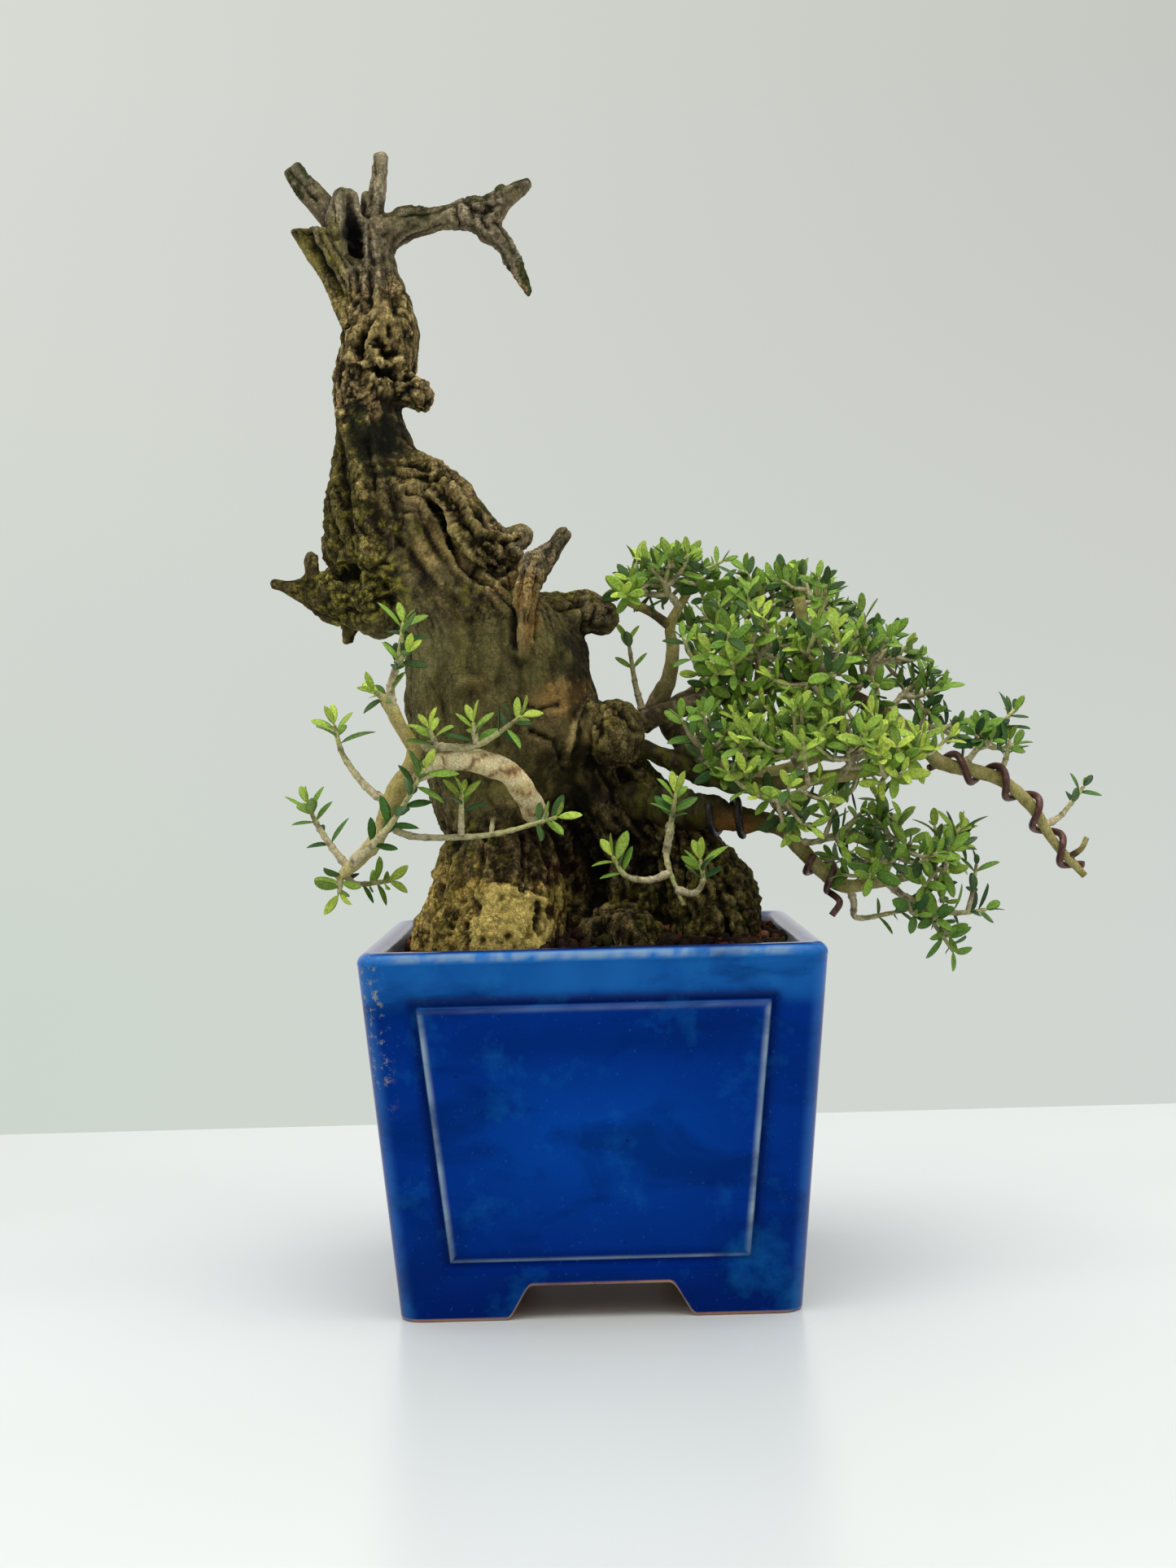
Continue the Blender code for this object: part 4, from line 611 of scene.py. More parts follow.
class Skin:
    """Gathers patches of surface, each with its colours, and makes one piece of them."""

    def __init__(self):
        self.verts, self.faces, self.tones, self.uvs, self.kinds = [], [], [], [], []
        self.count = 0

    def add(self, verts, faces, tones, kind=0, uv=None):
        """Adds places (any shape ending in 3), faces as index rows, and a colour for each place."""
        verts = np.asarray(verts, dtype=float).reshape(-1, 3)
        one = np.ndim(tones) < 2
        tones = np.broadcast_to(tones, verts.shape) if one else np.reshape(tones, (-1, 3))
        self.verts.append(verts)
        self.tones.append(tones)
        self.uvs.append(np.zeros((len(verts), 2)) if uv is None else np.reshape(uv, (-1, 2)))
        for group in faces:
            self.faces += (np.asarray(group) + self.count).tolist()
            self.kinds += [kind] * len(group)
        self.count += len(verts)

    def piece(self, name, finishes, slot, replaced=(), **fields):
        """The finished piece: in metres, in the model's frame, with its finishes; slot is not used."""
        mesh = bpy.data.meshes.new(name)
        verts = (np.concatenate(self.verts) + (POT_AXIS_X, 0, 0)) * MM
        mesh.from_pydata(verts.tolist(), [], self.faces)
        mesh.polygons.foreach_set("use_smooth", [True] * len(mesh.polygons))
        mesh.polygons.foreach_set("material_index", self.kinds)
        paint(mesh, "tone", np.concatenate(self.tones))
        loops = np.empty(len(mesh.loops), dtype=np.int32)
        mesh.loops.foreach_get("vertex_index", loops)
        layer = mesh.uv_layers.new(name="UVMap")
        layer.data.foreach_set("uv", np.concatenate(self.uvs)[loops].astype(np.float32).ravel())
        for key, values in fields.items():
            mesh.attributes.new(key, "FLOAT", "POINT").data.foreach_set("value", np.ravel(values))
        return place_piece(mesh, name, finishes, replaced)


def paint(mesh, name, colours):
    """Stores a colour for each vertex."""
    layer = mesh.color_attributes.new(name, "FLOAT_COLOR", "POINT")
    rows = np.ones((len(colours), 4), dtype=np.float32)
    rows[:, :3] = np.clip(colours, 0, 1)
    layer.data.foreach_set("color", rows.ravel())


def place_piece(mesh, name, finishes, replaced):
    """Object for a finished mesh, riding on the one body."""
    obj = bpy.data.objects.new(name, mesh)
    bpy.context.scene.collection.objects.link(obj)
    mesh.materials.clear()
    for finish in finishes:
        mesh.materials.append(finish)
    mesh.update()
    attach(obj, "root")
    if replaced:
        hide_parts(*replaced)
    return obj


def grid_faces(rows, columns, wrap_rows=False, wrap_columns=True):
    """Quads between neighbours of a grid, whose rows and columns may each close on themselves."""
    i = np.arange(rows if wrap_rows else rows - 1)[:, None]
    k = np.arange(columns if wrap_columns else columns - 1)[None, :]
    a = i * columns + k
    b = i * columns + (k + 1) % columns
    c = ((i + 1) % rows) * columns + (k + 1) % columns
    d = ((i + 1) % rows) * columns + k
    return np.stack((a, b, c, d), axis=-1).reshape(-1, 4)


def rails(places):
    """Two unit vectors across a path at each of its points, carried along without twist."""
    ahead = unit(np.gradient(places, axis=0))
    across = np.empty_like(ahead)
    side = np.cross(ahead[0], (0.31, 0.17, 0.93))
    for i, forward in enumerate(ahead):
        side = side - forward * side.dot(forward)
        side = side / np.linalg.norm(side)
        across[i] = side
    return across, np.cross(ahead, across)


def tube(rows, sides, swell=0.0):
    """Round skin carried along rows of (x, y, z, radius), closed to a point at both ends.

    swell adds to the radius at each place: one number, or a grid of them.
    """
    places = rows[:, :3]
    across, other = rails(places)
    angle = np.linspace(0, 2 * math.pi, sides, endpoint=False)
    reach = (rows[:, 3:4] + swell)[..., None]
    ring = (across[:, None] * np.cos(angle)[None, :, None]
            + other[:, None] * np.sin(angle)[None, :, None])
    wall = places[:, None] + ring * reach
    body = np.concatenate((wall.reshape(-1, 3), wall[:1].mean(axis=1), wall[-1:].mean(axis=1)))
    faces = [grid_faces(len(rows), sides)]
    k = np.arange(sides)
    last = (len(rows) - 1) * sides
    start, end = len(rows) * sides, len(rows) * sides + 1
    faces.append(np.stack((np.full(sides, start), (k + 1) % sides, k), axis=-1))
    faces.append(np.stack((np.full(sides, end), last + k, last + (k + 1) % sides), axis=-1))
    return body, faces


CUT_END = 0.6


def rounded(rows, per_span=6):
    """A path's spline with flattened round ends."""
    fine = spline(rows, per_span)
    out = [fine]
    for end, inner, order in ((0, 1, 1), (-1, -2, -1)):
        direction = unit(fine[end, :3] - fine[inner, :3])
        radius = fine[end, 3]
        caps = []
        for turn in (30, 60, 85):
            t = math.radians(turn)
            out_by = direction * radius * math.sin(t) * CUT_END
            caps.append([*(fine[end, :3] + out_by), radius * math.cos(t)])
        caps = np.array(caps)
        out = [caps[::-1], *out] if order == 1 else [*out, caps]
    return np.vstack(out)


# ---- finishes ----

class Finish:
    """A node-built finish with one Principled shader, and short calls for its nodes."""

    def __init__(self, name, **sockets):
        self.material = bpy.data.materials.new(name)
        self.material.use_nodes = True
        self.tree = self.material.node_tree
        self.shader = self.tree.nodes["Principled BSDF"]
        self.place = self.tree.nodes.new("ShaderNodeTexCoord").outputs["Object"]
        for key, value in sockets.items():
            self.shader.inputs[key.replace("_", " ")].default_value = value

    def link(self, value, target):
        """Sets a socket, or links it when the value is another node's output."""
        if isinstance(value, bpy.types.NodeSocket):
            self.tree.links.new(value, target)
        else:
            target.default_value = value

    def attribute(self, name, output="Color"):
        """A colour or number stored on the piece's vertices."""
        node = self.tree.nodes.new("ShaderNodeAttribute")
        node.attribute_name = name
        return node.outputs[output]

    def stretched(self, scale):
        """The object's own places, scaled along each axis."""
        node = self.tree.nodes.new("ShaderNodeMapping")
        node.inputs["Scale"].default_value = scale
        self.link(self.place, node.inputs["Vector"])
        return node.outputs["Vector"]

    def noise(self, scale, detail=3.0, roughness=0.55, vector=None, distortion=0.0, output="Fac"):
        """Cloudy noise over the piece."""
        node = self.tree.nodes.new("ShaderNodeTexNoise")
        for key, value in (("Scale", scale), ("Detail", detail), ("Roughness", roughness),
                           ("Distortion", distortion)):
            node.inputs[key].default_value = value
        self.link(vector or self.place, node.inputs["Vector"])
        return node.outputs[output]

    def cells(self, scale, feature="F1", vector=None, output="Distance"):
        """Distance within scattered cells, to a cell's seed or to its edge."""
        node = self.tree.nodes.new("ShaderNodeTexVoronoi")
        node.feature = feature
        node.inputs["Scale"].default_value = scale
        self.link(vector or self.place, node.inputs["Vector"])
        return node.outputs[output]

    def remap(self, value, low, high, to_low=0.0, to_high=1.0):
        """A value's range low to high carried to another range, and held at its ends."""
        node = self.tree.nodes.new("ShaderNodeMapRange")
        self.link(value, node.inputs["Value"])
        for key, number in (("From Min", low), ("From Max", high),
                            ("To Min", to_low), ("To Max", to_high)):
            node.inputs[key].default_value = number
        return node.outputs["Result"]

    def maths(self, operation, first, second=0.0):
        """One sum, product or other step on two values."""
        node = self.tree.nodes.new("ShaderNodeMath")
        node.operation = operation
        self.link(first, node.inputs[0])
        self.link(second, node.inputs[1])
        return node.outputs[0]

    def mix(self, first, second, share, kind="MIX"):
        """Second colour laid over the first by a share."""
        node = self.tree.nodes.new("ShaderNodeMix")
        node.data_type = "RGBA"
        node.blend_type = kind
        sockets = [s for s in node.inputs if s.enabled]
        factor, a, b = sockets[0], sockets[1], sockets[2]
        self.link(share, factor)
        for value, target in ((first, a), (second, b)):
            if isinstance(value, bpy.types.NodeSocket):
                self.tree.links.new(value, target)
            else:
                target.default_value = (*value, 1.0)
        return [s for s in node.outputs if s.enabled][0]

    def bump(self, height, strength, distance, normal=None):
        """Relief from a height, over a normal."""
        node = self.tree.nodes.new("ShaderNodeBump")
        node.inputs["Strength"].default_value = strength
        node.inputs["Distance"].default_value = distance
        self.link(height, node.inputs["Height"])
        if normal is not None:
            self.link(normal, node.inputs["Normal"])
        return node.outputs["Normal"]

    def wear(self, **links):
        """Links outputs to the shader's sockets and gives the material."""
        for key, value in links.items():
            self.link(value, self.shader.inputs[key.replace("_", " ")])
        return self.material


def glaze_finish():
    """Cloudy cobalt glaze: stretched dark clouds, paler clouds, specks and pinholes over the tones.

    It is glossy where the gloss field is 1 and dry where that is 0. Where the worn field is
    high, a fine noise scuffs it through to a dull tan.
    """
    f = Finish("cobalt_glaze", Specular_IOR_Level=0.3, Specular_Tint=(0.04, 0.36, 0.9, 1.0))
    base = f.attribute("tone")
    gloss = f.attribute("gloss", "Fac")
    worn = f.attribute("worn", "Fac")
    cloud = f.noise(26, 5, 0.6, f.stretched((0.8, 0.8, 1.7)), 0.8)
    deep = f.mix(base, (0.0, 0.008, 0.1), f.maths("MULTIPLY", f.remap(cloud, 0.5, 0.64, 0, 0.6), gloss))
    pale = f.maths("MULTIPLY", f.remap(f.noise(48, 5, 0.65), 0.54, 0.72, 0, 0.3), gloss)
    lit = f.mix(deep, (0.01, 0.17, 0.46), pale)
    speck = f.maths("MULTIPLY", f.remap(f.noise(900, 2, 0.5), 0.66, 0.8, 0, 0.2), gloss)
    lit = f.mix(lit, (0.05, 0.2, 0.48), speck)
    pits = f.remap(f.cells(95), 0.05, 0.025)
    lit = f.mix(lit, (0.002, 0.004, 0.02), f.maths("MULTIPLY", pits, 0.8))
    scuff = f.maths("MULTIPLY", f.remap(f.noise(420, 6, 0.75), 0.54, 0.62), worn)
    colour = f.mix(lit, (0.27, 0.27, 0.22), scuff)
    dust = f.remap(f.noise(1400, 3, 0.6), 0.35, 0.7, 0.88, 1.08)
    rough = f.maths("ADD", f.remap(gloss, 0, 1, 0.85, 0.13), f.maths("MULTIPLY", scuff, 0.5))
    normal = f.bump(f.noise(60, 2, 0.4), 0.12, 0.001)
    normal = f.bump(dust, 0.03, 0.0004, normal)
    return f.wear(Base_Color=colour, Roughness=rough, Normal=normal)


def bark_finish(name, scale, strength, grime=1.0, roughness=0.88):
    """Painted bark: grain, flakes edged by cracks, and grit laid over the surface's tones.

    grime scales how dark and how pale all of that makes the tones. The plain field, 0 to 1,
    takes it and its relief away again and leaves the tones alone.
    """
    f = Finish(name, Roughness=roughness, Specular_IOR_Level=0.12)
    base = f.attribute("tone")
    grain = f.noise(scale, 8, 0.75, f.stretched((1, 1, 0.4)), 0.5)
    fine = f.noise(scale * 2.6, 6, 0.8)
    broad = f.noise(scale * 0.3, 4, 0.6)
    warped = f.mix(f.place, f.noise(scale * 0.8, 3, 0.6, output="Color"), 0.005)
    edge = f.cells(scale * 0.8, "DISTANCE_TO_EDGE", warped)
    crack = f.maths("MULTIPLY", f.remap(edge, 0.0, 0.1, 1.0, 0.0), f.remap(broad, 0.4, 0.55))
    lit = f.mix(base, (0.34, 0.31, 0.25), f.remap(grain, 0.4, 0.5, 0.85 * grime, 0.0), "MULTIPLY")
    lit = f.mix(lit, (2.3, 2.15, 1.8), f.remap(fine, 0.52, 0.6, 0.0, 0.85 * grime), "MULTIPLY")
    lit = f.mix(lit, (0.36, 0.36, 0.26), f.remap(fine, 0.47, 0.4, 0.0, 0.85 * grime), "MULTIPLY")
    lit = f.mix(lit, (0.66, 0.68, 0.48), f.remap(broad, 0.36, 0.58, 0.6 * grime, 0.0), "MULTIPLY")
    lit = f.mix(lit, (0.2, 0.18, 0.13), f.maths("MULTIPLY", crack, 0.9 * grime), "MULTIPLY")
    height = f.maths("ADD", grain, f.maths("MULTIPLY", fine, 0.8))
    height = f.maths("SUBTRACT", height, f.maths("MULTIPLY", crack, 0.45))
    plain = f.maths("MULTIPLY", f.attribute("plain"), 0.75)
    lit = f.mix(lit, f.mix(base, (0.72, 0.74, 0.56), 1.0, "MULTIPLY"), plain)
    height = f.maths("MULTIPLY", height, f.maths("SUBTRACT", 1.0, plain))
    return f.wear(Base_Color=lit, Normal=f.bump(height, strength, 0.0018))


def leaf_finish():
    """Waxy blade: pale midrib and margin from the blade's own map, over its age colour."""
    f = Finish("olive_leaf", Roughness=0.24, Specular_IOR_Level=0.85,
               Specular_Tint=(0.85, 1.0, 0.6, 1.0))
    uv = f.tree.nodes.new("ShaderNodeUVMap")
    uv.uv_map = "UVMap"
    split = f.tree.nodes.new("ShaderNodeSeparateXYZ")
    f.link(uv.outputs["UV"], split.inputs["Vector"])
    along, across = split.outputs["X"], split.outputs["Y"]
    out = f.maths("ABSOLUTE", f.maths("SUBTRACT", across, 0.5))
    rib = f.remap(out, 0.012, 0.05, 0.55, 0.0)
    margin = f.remap(out, 0.44, 0.5, 0.0, 0.45)
    base = f.attribute("tone")
    mottled = f.mix(base, (0.6, 0.65, 0.55), f.remap(f.noise(650, 3), 0.4, 0.65, 0.14, 0.0), "MULTIPLY")
    colour = f.mix(mottled, (0.34, 0.52, 0.1), f.maths("MAXIMUM", rib, margin))
    slant = f.maths("ADD", f.maths("MULTIPLY", along, 9.0), f.maths("MULTIPLY", out, -6.0))
    veins = f.maths("ABSOLUTE", f.maths("SUBTRACT", f.maths("FRACT", slant), 0.5))
    height = f.maths("ADD", f.maths("MULTIPLY", veins, 0.5), f.maths("MULTIPLY", rib, -1.5))
    return f.wear(Base_Color=colour, Normal=f.bump(height, 0.25, 0.0003))


def twig_finish():
    """Khaki twig bark with fine scars."""
    f = Finish("twig_bark", Roughness=0.75, Specular_IOR_Level=0.3)
    base = f.attribute("tone")
    fine = f.noise(1500, 4, 0.6)
    colour = f.mix(base, (0.45, 0.42, 0.36), f.remap(fine, 0.4, 0.62, 0.7, 0.0), "MULTIPLY")
    return f.wear(Base_Color=colour, Normal=f.bump(fine, 0.4, 0.0005))


def grain_finish():
    """Dry soil grains and moss in their own tones."""
    f = Finish("soil_grains", Roughness=0.95, Specular_IOR_Level=0.2)
    base = f.attribute("tone")
    fine = f.noise(1100, 5, 0.7)
    colour = f.mix(base, (0.4, 0.38, 0.36), f.remap(fine, 0.4, 0.65, 0.8, 0.0), "MULTIPLY")
    return f.wear(Base_Color=colour, Normal=f.bump(fine, 0.7, 0.001))


def wire_finish(name, colour, worn):
    """Anodised training wire, dull, with the finish rubbed paler in places."""
    f = Finish(name, Metallic=0.55, Roughness=0.48)
    rub = f.remap(f.noise(420, 4, 0.6), 0.5, 0.68, 0, 0.6)
    return f.wear(Base_Color=f.mix(colour, worn, rub), Normal=f.bump(f.noise(900, 3), 0.25, 0.0004))


def plastic_finish():
    """Black moulded plastic of the drain screen."""
    f = Finish("black_plastic", Roughness=0.55)
    mark = f.remap(f.noise(300, 3), 0.4, 0.7, 0, 0.4)
    return f.wear(Base_Color=f.mix((0.012, 0.012, 0.013), (0.04, 0.037, 0.033), mark))


# ---- pot ----

def wall_stations():
    """Shares of half a wall from its middle (0) to where the corner begins (1)."""
    spans = ((0, 0.32, 9), (0.32, 0.49, 17), (0.49, 0.655, 6), (0.655, 0.785, 20), (0.785, 1, 6))
    return np.concatenate([np.linspace(a, b, n, endpoint=False) for a, b, n in spans] + [[1.0]])


def half_at(z):
    """Half width of the pot's outside at height z."""
    return POT_FOOT_HALF + (POT_TOP_HALF - POT_FOOT_HALF) * z / POT_HEIGHT


def panel_half(z):
    """Half width of the framed panel at height z."""
    slope = (PANEL_TOP_HALF - PANEL_FOOT_HALF) / (PANEL_TOP_Z - PANEL_FOOT_Z)
    return PANEL_FOOT_HALF + (z - PANEL_FOOT_Z) * slope


PANEL_SHARE = 0.72
CORNER_STEPS = 8


def wall_x(share, z, corner_start):
    """Distance from the wall's middle: the panel's edge keeps to one share of the wall."""
    edge = panel_half(z)
    inner = share / PANEL_SHARE * edge
    outer = edge + (share - PANEL_SHARE) / (1 - PANEL_SHARE) * (corner_start - edge)
    return np.where(share < PANEL_SHARE, inner, outer)


def foot_line(share):
    """Bottom edge of a wall with its notch: (x, z) at each share of the half wall."""
    start = PANEL_SHARE * NOTCH_TOP_HALF / panel_half(WALL_LOW_Z)
    end = PANEL_SHARE * NOTCH_FOOT_HALF / panel_half(WALL_LOW_Z)
    corner_start = POT_FOOT_HALF - POT_CORNER
    x = np.interp(share, (0, start, end, 1), (0, NOTCH_TOP_HALF, NOTCH_FOOT_HALF, corner_start))
    soft = 0.018
    z = 0.0
    for shift in np.linspace(-soft, soft, 7):
        z = z + np.interp(share + shift, (start, end), (FOOT_HEIGHT, 0)) / 7
    return x, z


def panel_relief(x, z):
    """Depth of the groove round the panel, how dark its glaze is from pooling and from painted shade, and
    how thin.
    """
    side = (panel_half(z) - np.abs(x)) * 0.99
    inside = np.minimum(np.minimum(side, z - PANEL_FOOT_Z), PANEL_TOP_Z - z)
    out_x = np.maximum(-side, 0)
    out_z = np.maximum(np.maximum(PANEL_FOOT_Z - z, z - PANEL_TOP_Z), 0)
    outside = np.hypot(out_x, out_z)
    groove = 1.5 * (1 - ease(0, 3.6, outside))
    tablet = 1.5 - 0.95 * ease(0, 0.8, inside)
    depth = np.where(inside > 0, tablet, groove)
    near_bottom = ease(4.0, 0.0, z - PANEL_FOOT_Z) * (inside > 0)
    # darker in the groove round the panel from pooled glaze and painted shade; inside the panel, glaze
    # pooled just above its foot
    pool_and_shade = np.where(inside > 0, 0.75 * near_bottom * ease(0.6, 1.4, inside), ease(3.4, 0.3, outside))
    pool_and_shade = pool_and_shade * np.where(z < PANEL_FOOT_Z, 0.45, 1.0)
    below_top = ease(PANEL_TOP_Z, PANEL_TOP_Z - 3, z)
    at_bottom = (z - PANEL_FOOT_Z) < side
    wide = np.where(at_bottom, 1.1, 2.4)
    thin = ease(wide, 0.25, inside) * (inside > 0) * np.where(at_bottom, 0.75, below_top)
    return depth, pool_and_shade, thin


def make_pot(finish):
    """Tapered square pot as one closed loop of rings: wall, lip, inside, floor, hole, feet.

    Each ring is a rounded square given by half width, corner radius and height. The wall's
    rings are pressed in by the panel relief, and its lowest rings follow the notched feet.
    """
    share = wall_stations()
    foot_x, foot_z = foot_line(share)
    arc = np.linspace(0, math.pi / 4, CORNER_STEPS + 1)[1:]
    low_half = half_at(WALL_LOW_Z) - POT_CORNER
    flat = wall_x(share, WALL_LOW_Z, low_half) / low_half
    rings, tones, gloss, worn = [], [], [], []

    def ring(x, out, z, colour, shine, corner_centre, radius):
        """Adds a ring from a half wall's (x, out, z), with an arc for half of each corner."""
        arc_x = corner_centre + radius * np.sin(arc)
        arc_out = corner_centre + radius * np.cos(arc)
        z = np.broadcast_to(z, x.shape)
        half = np.stack((np.append(x, arc_x), np.append(out, arc_out),
                         np.append(z, np.full(CORNER_STEPS, z[-1]))), axis=-1)
        # painted reflection: the wall's corner arcs turn paler towards their middle, a bright streak down
        # each corner
        turned = ease(0.35, 1.0, arc / arc[-1]) * 0.55 * (shine == 1.0)
        last = np.repeat(colour[-1:], CORNER_STEPS, axis=0)
        shade = np.concatenate((colour, blend(last, sky, turned)))
        mirrored = half[:0:-1] * (-1, 1, 1)
        side = np.concatenate((mirrored, half[:-1]))
        shades = np.concatenate((shade[:0:-1], shade[:-1]))
        quarters = []
        for turn in range(4):
            c, s = ((1, 0), (0, 1), (-1, 0), (0, -1))[turn]
            x0, y0 = side[:, 0], -side[:, 1]
            quarters.append(np.stack((c * x0 - s * y0, s * x0 + c * y0, side[:, 2]), axis=-1))
        rings.append(np.concatenate(quarters))
        tones.append(np.tile(shades, (4, 1)))
        gloss.append(np.full(len(rings[-1]), shine))
        near = np.hypot(rings[-1][:, 0] + half_at(z[-1]) - 3, rings[-1][:, 1] + half_at(z[-1]) - 1)
        worn.append(0.9 * ease(5, 1.5, near) * ease(56, 72, z[-1]) * (shine == 1.0))

    blue, navy, sky = tone("01257c"), tone("000650"), tone("1c62ac")
    pale, clay, inside = tone("a3bcc8"), tone("b98d68"), tone("8f9496")
    ones = np.ones(len(share))

    def wall_ring(z, lift):
        """A ring of the outer wall; z may differ along it, lift is its height above the edge."""
        half = half_at(z)
        corner_start = half - POT_CORNER
        x = wall_x(share, z, corner_start)
        low = np.clip((WALL_LOW_Z - z) / np.maximum(WALL_LOW_Z - foot_z, 1), 0, 1)
        x = np.where(z < WALL_LOW_Z, x * (1 - low) + foot_x * low, x)
        depth, pool_and_shade, thin = panel_relief(x, z)
        edge = 0.8 * (1 - np.sqrt(np.clip(1 - (1 - np.clip(lift / 0.8, 0, 1)) ** 2, 0, 1)))
        spot = np.stack((x, 0 * x, z), axis=-1)
        drift = layers(spot, 14, 3, 201)
        band = ease(85, 94, z + 3 * drift) * (0.75 + 0.25 * drift)
        colour = blend(np.tile(blue, (len(x), 1)), sky, band * (1 - pool_and_shade))
        # painted reflection: a brighter oval over the middle of the panel
        lit = np.exp(-((x - 3) / 34) ** 2 - ((z - 50 - 4 * drift) / 20) ** 2)
        colour = blend(colour, tone("0440a0"), 0.85 * lit)
        dim = np.exp(-((z - 77 + 3 * drift) / 5) ** 2) * ease(46, 30, np.abs(x))
        colour = blend(colour, navy, 0.35 * dim)
        # pooled glaze and painted shade in the groove round the panel
        colour = blend(colour, navy, pool_and_shade)
        colour = blend(colour, navy, 0.6 * ease(22, 3, z))
        thin = thin * (0.65 + 0.35 * ease(-0.4, 0.3, waves(spot, 9, 203)))
        colour = blend(colour, pale, 0.95 * thin)
        colour = blend(colour, clay, ease(1.1, 0.5, lift))
        x[-1] = corner_start[-1]
        ring(x, half - depth - edge, z, colour, 1.0, corner_start[-1], POT_CORNER - edge[-1])

    for share_up in (0, 0.015, 0.035, 0.06, 0.09, 0.14, 0.22, 0.34, 0.5, 0.7, 0.88):
        z = foot_z + (WALL_LOW_Z - foot_z) * share_up
        wall_ring(z, z - foot_z)
    levels = [np.linspace(WALL_LOW_Z, 21, 22), np.linspace(21.8, 82, 27), np.linspace(83, 92, 20),
              np.linspace(92.8, 99.4, 8)]
    for z in np.concatenate(levels):
        wall_ring(z * ones, 20 * ones)
    lip = POT_HEIGHT - 3.2
    for turn in range(0, 91, 10):
        t = math.radians(turn)
        half = half_at(lip) - 3.2 * (1 - math.cos(t)) + 0.1
        z = lip + 3.2 * math.sin(t)
        white = ease(0, 20, turn) * ease(66, 42, turn)
        edge_line = np.stack((flat * half, z * ones, 0 * ones), axis=-1)
        broken = ease(-0.5, 0.3, layers(edge_line, 6, 3, 205))
        colour = blend(np.tile(sky, (len(share), 1)), tone("8fa3a4"), white * broken * 0.6)
        colour = blend(colour, navy, ones * ease(50, 72, turn) * 0.9)
        corner = POT_CORNER - 2.2 * (1 - math.cos(t))
        ring(flat * (half - corner), half * ones, z * ones, colour, 1.0, half - corner, corner)
    inner_edge = POT_TOP_HALF - POT_WALL
    for turn in range(10, 91, 20):
        t = math.radians(turn)
        half = inner_edge + 2.2 * (1 - math.sin(t)) + 0.2
        z = POT_HEIGHT - 2.4 * (1 - math.cos(t))
        corner = 4.6
        colour = blend(np.tile(navy, (len(share), 1)), inside, ones * ease(10, 60, turn))
        ring(flat * (half - corner), half * ones, z * ones, colour, 0.9, half - corner, corner)
    grey = np.tile(inside, (len(share), 1))
    for z in (97, 92, 80, 50, FLOOR_TOP + 4):
        half = half_at(z) - POT_WALL
        ring(flat * (half - 4), half * ones, z * ones, grey, 0.7, half - 4, 4)
    half = half_at(FLOOR_TOP) - POT_WALL - 3
    ring(flat * (half - 3), half * ones, FLOOR_TOP * ones, grey, 0.5, half - 3, 3)
    dull = np.tile(clay, (len(share), 1))
    for z in (FLOOR_TOP, FLOOR_UNDER):
        ring(flat * 4.0, 4.0 + 0 * ones, z * ones, dull, 0.1, 4.0, 4.0)
        spread = rings[-1][:, :2]
        rings[-1][:, :2] = spread / np.linalg.norm(spread, axis=1, keepdims=True) * DRAIN_RADIUS
    corner = 4.0
    inner_start = FOOT_INSIDE - corner
    inner_x = np.where(foot_x < NOTCH_FOOT_HALF, foot_x, np.interp(
        foot_x, (NOTCH_FOOT_HALF, POT_FOOT_HALF - POT_CORNER), (NOTCH_FOOT_HALF, inner_start)))
    for down in (0.0, 1.0):
        z = FLOOR_UNDER + (foot_z - FLOOR_UNDER) * down
        ring(inner_x, FOOT_INSIDE * ones, z, dull, 0.05, inner_start, corner)
    middle = 0.5 * (foot_x + inner_x)
    centre = 0.5 * (inner_start + POT_FOOT_HALF - POT_CORNER)
    ring(middle, (FOOT_INSIDE + POT_FOOT_HALF) / 2 * ones, foot_z, dull, 0.05, centre, 5.5)

    skin = Skin()
    columns = len(rings[0])
    skin.add(np.array(rings), [grid_faces(len(rings), columns, wrap_rows=True)], np.array(tones))
    return skin.piece("glazed_pot", [finish], "glaze", ["pot"], gloss=np.concatenate(gloss),
                      worn=np.concatenate(worn))


# ---- trunk ----

# Core ring: corners, and how square it is; corners of a lump's ring
CORE_SIDES = 56
CORE_POWER = 2.4
LUMP_SIDES = 20


def trunk_axis(z):
    """Middle of the trunk's outline at each height."""
    rows = np.array(TRUNK_SECTIONS, dtype=float)
    x = np.interp(z, rows[:, 0], (rows[:, 1] + rows[:, 2]) / 2)
    y = np.interp(z, rows[:, 0], (rows[:, 3] + rows[:, 4]) / 2)
    return x, y


def near_path(x, z, path):
    """Distance in the front view from each place to a chain of points."""
    nearest = np.full(len(x), 1e9)
    for (ax, az), (bx, bz) in zip(path, path[1:]):
        length = (bx - ax) ** 2 + (bz - az) ** 2
        t = np.clip(((x - ax) * (bx - ax) + (z - az) * (bz - az)) / length, 0, 1)
        nearest = np.minimum(nearest, np.hypot(x - ax - t * (bx - ax), z - az - t * (bz - az)))
    return nearest


def along_path(places, rows):
    """Nearest point of a path: share of the radius away, offset from it, and length along."""
    fine = spline(rows, 4)
    steps = lengths_along(fine[:, :3])
    gaps = np.linalg.norm(places[:, None] - fine[None, :, :3], axis=2)
    i = gaps.argmin(axis=1)
    offset = places - fine[i, :3]
    return gaps[np.arange(len(places)), i] / fine[i, 3], offset, steps[i]


